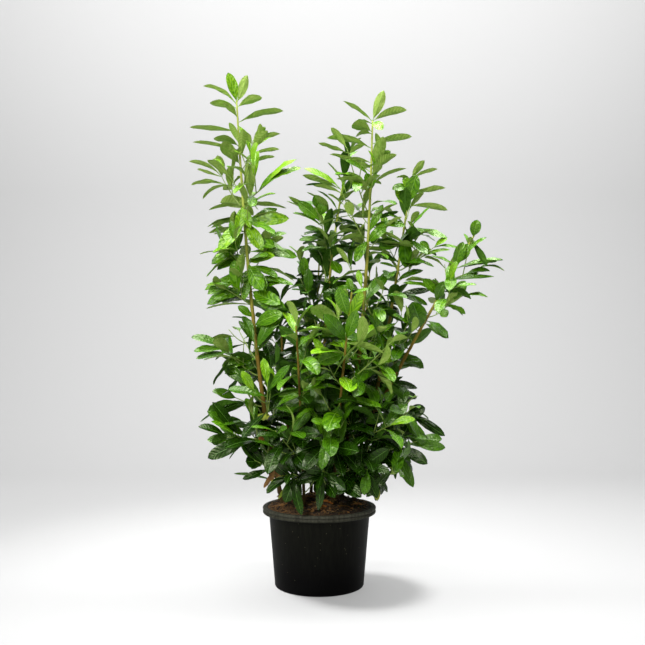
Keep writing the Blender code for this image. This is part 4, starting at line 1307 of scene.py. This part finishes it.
def sweep(course, sides, rings, relief=None, flare=0.0):
    """A closed tube along a course: rings of points square to it, with a point on each end."""
    distance = np.linspace(0.0, course.length, rings)
    place = course.place(distance)
    along = course.along(distance)
    lean = np.argmin(np.abs(along.mean(axis=0)))
    side = unit(np.cross(along, np.eye(3)[lean]))
    other = np.cross(along, side)
    angle = np.linspace(0.0, TURN, sides, endpoint=False)
    radius = course.radius_at(distance)[:, None] * (1 + flare * np.exp(-distance / FLARE_HEIGHT))[:, None]
    radius = np.broadcast_to(radius, (rings, sides)).copy()
    if relief is not None:
        radius += relief(distance[:, None], angle[None])
    ring = side[:, None] * np.cos(angle)[:, None] + other[:, None] * np.sin(angle)[:, None]
    points = place[:, None] + ring * radius[..., None]
    ends = [place[0], place[-1] + along[-1] * course.tip_radius * 0.5]
    points = np.concatenate([points.reshape(-1, 3), ends])
    quads = grid(rings, sides, closed=True)
    first = np.arange(sides)
    last = first + (rings - 1) * sides
    caps = np.concatenate([fan(first, len(points) - 2)[:, ::-1], fan(last, len(points) - 1)])
    return points, quads, caps


def make_stem(name, course):
    """A stem or bough with its bark."""
    nodes = np.arange(SCAR_FIRST, course.length, LEAF_SPACING * SCAR_SPACING)
    turns = np.arange(len(nodes)) * GOLDEN_ANGLE

    def relief(distance, angle):
        """Scars swell where leaves stood, and ridges run along the stem and sway round it."""
        ridges = RIDGES * np.sin(5 * angle + 3 * np.sin(distance * 9))
        ridges = ridges + FINE_RIDGES * np.sin(9 * angle - distance * 14)
        scars = np.zeros(np.broadcast(distance, angle).shape)
        for at, turn in zip(nodes, turns):
            near = np.exp(-(((distance - at) / SCAR_LENGTH) ** 2))
            scars += near * np.exp((np.cos(angle - turn) - 1) * SCAR_GRIP)
        return course.radius_at(distance) * (ridges + SCARS * scars)

    flare = FOOT_FLARE if name.startswith("stem") else 0.0
    points, quads, caps = sweep(course, STEM_SIDES, int(course.length / STEM_RING_STEP), relief, flare)
    piece = new_piece(name + "_bark", points, [quads, caps], [BARK])
    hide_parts(name)


def make_twigs(masses):
    """Every shoot and spur that isn't the end of a stem, as one joined piece."""
    blocks, quads, caps = [], [], []
    base = 0
    for name, twigs in masses.items():
        own = 1 if name.endswith("_top") else 0
        for twig in twigs[own:]:
            rings = max(TWIG_LEAST_RINGS, int(twig.course.length / TWIG_RING_STEP))
            points, quad, cap = sweep(twig.course, TWIG_SIDES, rings)
            blocks.append(points)
            quads.append(quad + base)
            caps.append(cap + base)
            base += len(points)
    faces = [np.concatenate(quads), np.concatenate(caps)]
    piece = new_piece("green_twigs", np.concatenate(blocks), faces, [GREEN_TWIG])
    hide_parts(*masses)


def deal_tones(leaves, chance):
    """Which tone each leaf takes, by its spray, how young it is, and light and shade painted by its height,
    how far forward it is and how deep inside.
    """
    x, y, z = leaves["root"].T
    back, base = PAINTED_LIGHT_ORIGIN
    # Painted light: lighter higher up and further forward; the spray, scatter and youth are the leaves' own
    # tone.
    light = PAINTED_LIGHT_HEIGHT * (z - base) - PAINTED_LIGHT_FRONT * (y - back) + TONE_SPRAY * (leaves["spray"] - 0.5)
    light += chance.normal(0, TONE_SCATTER, len(light)) + TONE_YOUNG * np.exp(-leaves["age"] / YOUNG_FADE)
    # Painted shade: darker deep inside the clump, below its top.
    inside = np.hypot(x, y) < INSIDE_RADIUS
    light -= PAINTED_SHADE_INSIDE * inside * np.clip((INSIDE_TOP - z) / INSIDE_FADE, 0, 1)
    return np.sum(light[:, None] < np.array(TONE_EDGES), axis=1)


def in_the_way(leaves, limbs):
    """Which leaves hide sky or a stretch of stem that the photograph shows, by a few places along each."""
    hidden = np.zeros(len(leaves["length"]), bool)
    centre_x, centre_z, radius = np.array(OPENINGS).T
    stems = []
    for name, (low, high) in CLEARINGS.items():
        course = limbs[name]
        distance = np.linspace(course.at_height(low), course.at_height(high), CLEARING_PLACES)
        stems.append(course.place(distance))
    for share in LEAF_SHARES:
        place = leaves["root"] + leaves["along"] * (leaves["length"] * share)[:, None]
        depth = place[:, 1]
        scale = CAMERA_DISTANCE / (CAMERA_DISTANCE + depth)
        x = place[:, 0] * scale
        z = CAMERA_HEIGHT + (place[:, 2] - CAMERA_HEIGHT) * scale
        hidden |= np.any(np.hypot(x[:, None] - centre_x, z[:, None] - centre_z) < radius, axis=1)
        hidden |= (z < HANGING_HEIGHT) & (depth < 0.0)
        for stem in stems:
            near = stem[np.argmin(np.abs(z[:, None] - stem[:, 2]), axis=1)]
            level = np.abs(z - near[:, 2]) < CLEARING_LEVEL
            hidden |= level & (np.abs(x - near[:, 0]) < CLEARING) & (depth < near[:, 1])
    return hidden


def open_leaves(twig, limbs):
    """A twig's leaves without those that are in the way."""
    leaves = leaves_along(twig)
    clear = ~in_the_way(leaves, limbs)
    return {key: value[clear] for key, value in leaves.items()}


def without_bare_spurs(twigs, limbs):
    """The twigs of a mass without the spurs that have no leaf left."""
    return [twig for twig in twigs if twig.seed[1] == 0 or len(open_leaves(twig, limbs)["length"])]


def make_foliage(masses, courses, limbs):
    """All the leaves, joined by tone."""
    tables = [open_leaves(twig, limbs) for twigs in masses.values() for twig in twigs]
    leaves = joined([*tables, free_leaves(courses, FREE_LEAVES, FREE_SEED)])
    tone = deal_tones(leaves, np.random.default_rng(TONE_SEED))
    for number, (word, finish) in enumerate(UPPER.items()):
        chosen = {key: value[tone == number] for key, value in leaves.items()}
        # The deep and dark tones take the underside and midrib darkened with painted shade.
        others = (UNDER_PALE, MIDRIB) if word in PALE_BELOW else (UNDER_PAINTED_SHADE, MIDRIB_PAINTED_SHADE)
        piece = make_leaves(f"leaves_{word}", chosen, [finish, *others])
        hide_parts(*masses)


def make_old_leaves(masses, courses):
    """Withered, dead and yellowing leaves, on the plant and on the soil."""
    for number, (word, rows) in enumerate(OLD_LEAVES.items()):
        hanging = free_leaves(courses, rows, FREE_SEED + 1 + number)
        lying = fallen_leaves(FALLEN[word], FALLEN_SEED + number)
        piece = make_leaves(f"leaves_{word}", joined([hanging, lying]), [TURNED[word]] * 3)
        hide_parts(*masses)


# Studio


def make_floor():
    """A pale floor that curves up into a backdrop far behind."""
    wide, front, back, radius, high = 9.0, -6.0, 5.0, 2.5, 9.0
    angle = np.linspace(0, math.pi / 2, 24)
    y = np.concatenate([[front, 0.0], back - radius + radius * np.sin(angle), [back]])
    z = np.concatenate([[0.0, 0.0], radius - radius * np.cos(angle), [high]])
    x = np.linspace(-wide, wide, 2)
    points = np.stack([np.tile(x, len(y)), np.repeat(y, 2), np.repeat(z, 2)], -1)
    made, tree, shader = new_material("pale_studio_floor")
    shade(tree, shader, Base_Color=linear("a4a4a4"), Roughness=0.9)
    mesh = bpy.data.meshes.new("studio_floor")
    mesh.from_pydata(points.tolist(), [], grid(len(y), 2).tolist())
    mesh.materials.append(made)
    mesh.shade_smooth()
    floor = bpy.data.objects.new("studio_floor", mesh)
    scene.collection.objects.link(floor)
    return floor


def add_light(name, place, aim, size, power):
    """An area light, so wide and so high, that points at aim."""
    lamp = bpy.data.lights.new(name, "AREA")
    lamp.shape = "RECTANGLE"
    lamp.size, lamp.size_y = size
    lamp.energy = power
    made = bpy.data.objects.new(name, lamp)
    made.location = place
    toward = np.array(aim) - np.array(place)
    made.rotation_euler = (
        math.atan2(math.hypot(toward[0], toward[1]), -toward[2]),
        0.0,
        math.atan2(toward[1], toward[0]) - math.pi / 2,
    )
    scene.collection.objects.link(made)
    return made


def group(name, objects, state="INCLUDE"):
    """A collection for lamps, whose objects are let in or kept out."""
    made = bpy.data.collections.new(name)
    for number, thing in enumerate(objects):
        made.objects.link(thing)
        made.collection_objects[number].light_linking.link_state = state
    return made


def make_studio(floor, pot):
    """Camera, soft lights and a pale room, as in the photograph.

    The lamps top and front light all but the floor, and backdrop everything from above and behind. The lamps
    apron, wash and side light the floor alone, where side throws the pot's shadow and no other.
    """
    image = 645
    focal = 750
    horizon = 364.5
    sensor = 36.0
    camera = bpy.data.cameras.new("camera")
    camera.sensor_width = sensor
    camera.lens = sensor * focal / image
    camera.shift_y = (horizon - image / 2) / image
    eye = bpy.data.objects.new("camera", camera)
    eye.location = (CAMERA_SIDE, -CAMERA_DISTANCE, CAMERA_HEIGHT)
    eye.rotation_euler = (math.pi / 2, 0.0, 0.0)
    scene.collection.objects.link(eye)
    scene.camera = eye
    world = bpy.data.worlds.new("pale_room")
    world.use_nodes = True
    room = world.node_tree.nodes["Background"].inputs
    room["Color"].default_value = linear("ffffff")
    room["Strength"].default_value = 0.30
    scene.world = world
    not_floor = group("not_floor", [floor], "EXCLUDE")
    only_floor = group("only_floor", [floor])
    only_pot = group("only_pot", [pot])
    top = add_light("top", (-0.3, -0.6, 5.2), (0.0, 0.0, 0.6), (3.4, 3.4), 420.0)
    front = add_light("front", (-1.6, -3.2, 2.6), (0.0, 0.0, 0.8), (1.6, 1.6), 125.0)
    add_light("backdrop", (0.0, 0.6, 6.5), (0.0, 5.0, 3.0), (8.0, 2.0), 705.0)
    apron = add_light("apron", (0.0, 1.7, 3.0), (0.0, 1.8, 0.0), (3.2, 1.6), 26.0)
    side = add_light("side", (-1.6, 0.8, 3.2), (0.45, -0.2, 0.0), (0.9, 0.9), 26.0)
    side.data.spread = math.radians(70)
    wash = add_light("wash", (0.0, -3.4, 2.6), (0.0, 5.0, 1.8), (5.0, 2.0), 310.0)
    for lamp in (top, front):
        lamp.light_linking.receiver_collection = not_floor
    for lamp, blocker in ((apron, only_floor), (side, only_pot), (wash, only_floor)):
        lamp.light_linking.receiver_collection = only_floor
        lamp.light_linking.blocker_collection = blocker
    scene.view_settings.view_transform = "Standard"


limbs, courses, masses = plan()
masses["stem_front_top"] += filling_twigs(limbs)
masses = {name: without_bare_spurs(twigs, limbs) for name, twigs in masses.items()}
pot = make_pot()
make_soil()
make_litter()
for name, course in limbs.items():
    make_stem(name, course)
make_twigs(masses)
make_foliage(masses, courses, limbs)
make_old_leaves(masses, courses)
make_studio(make_floor(), pot)
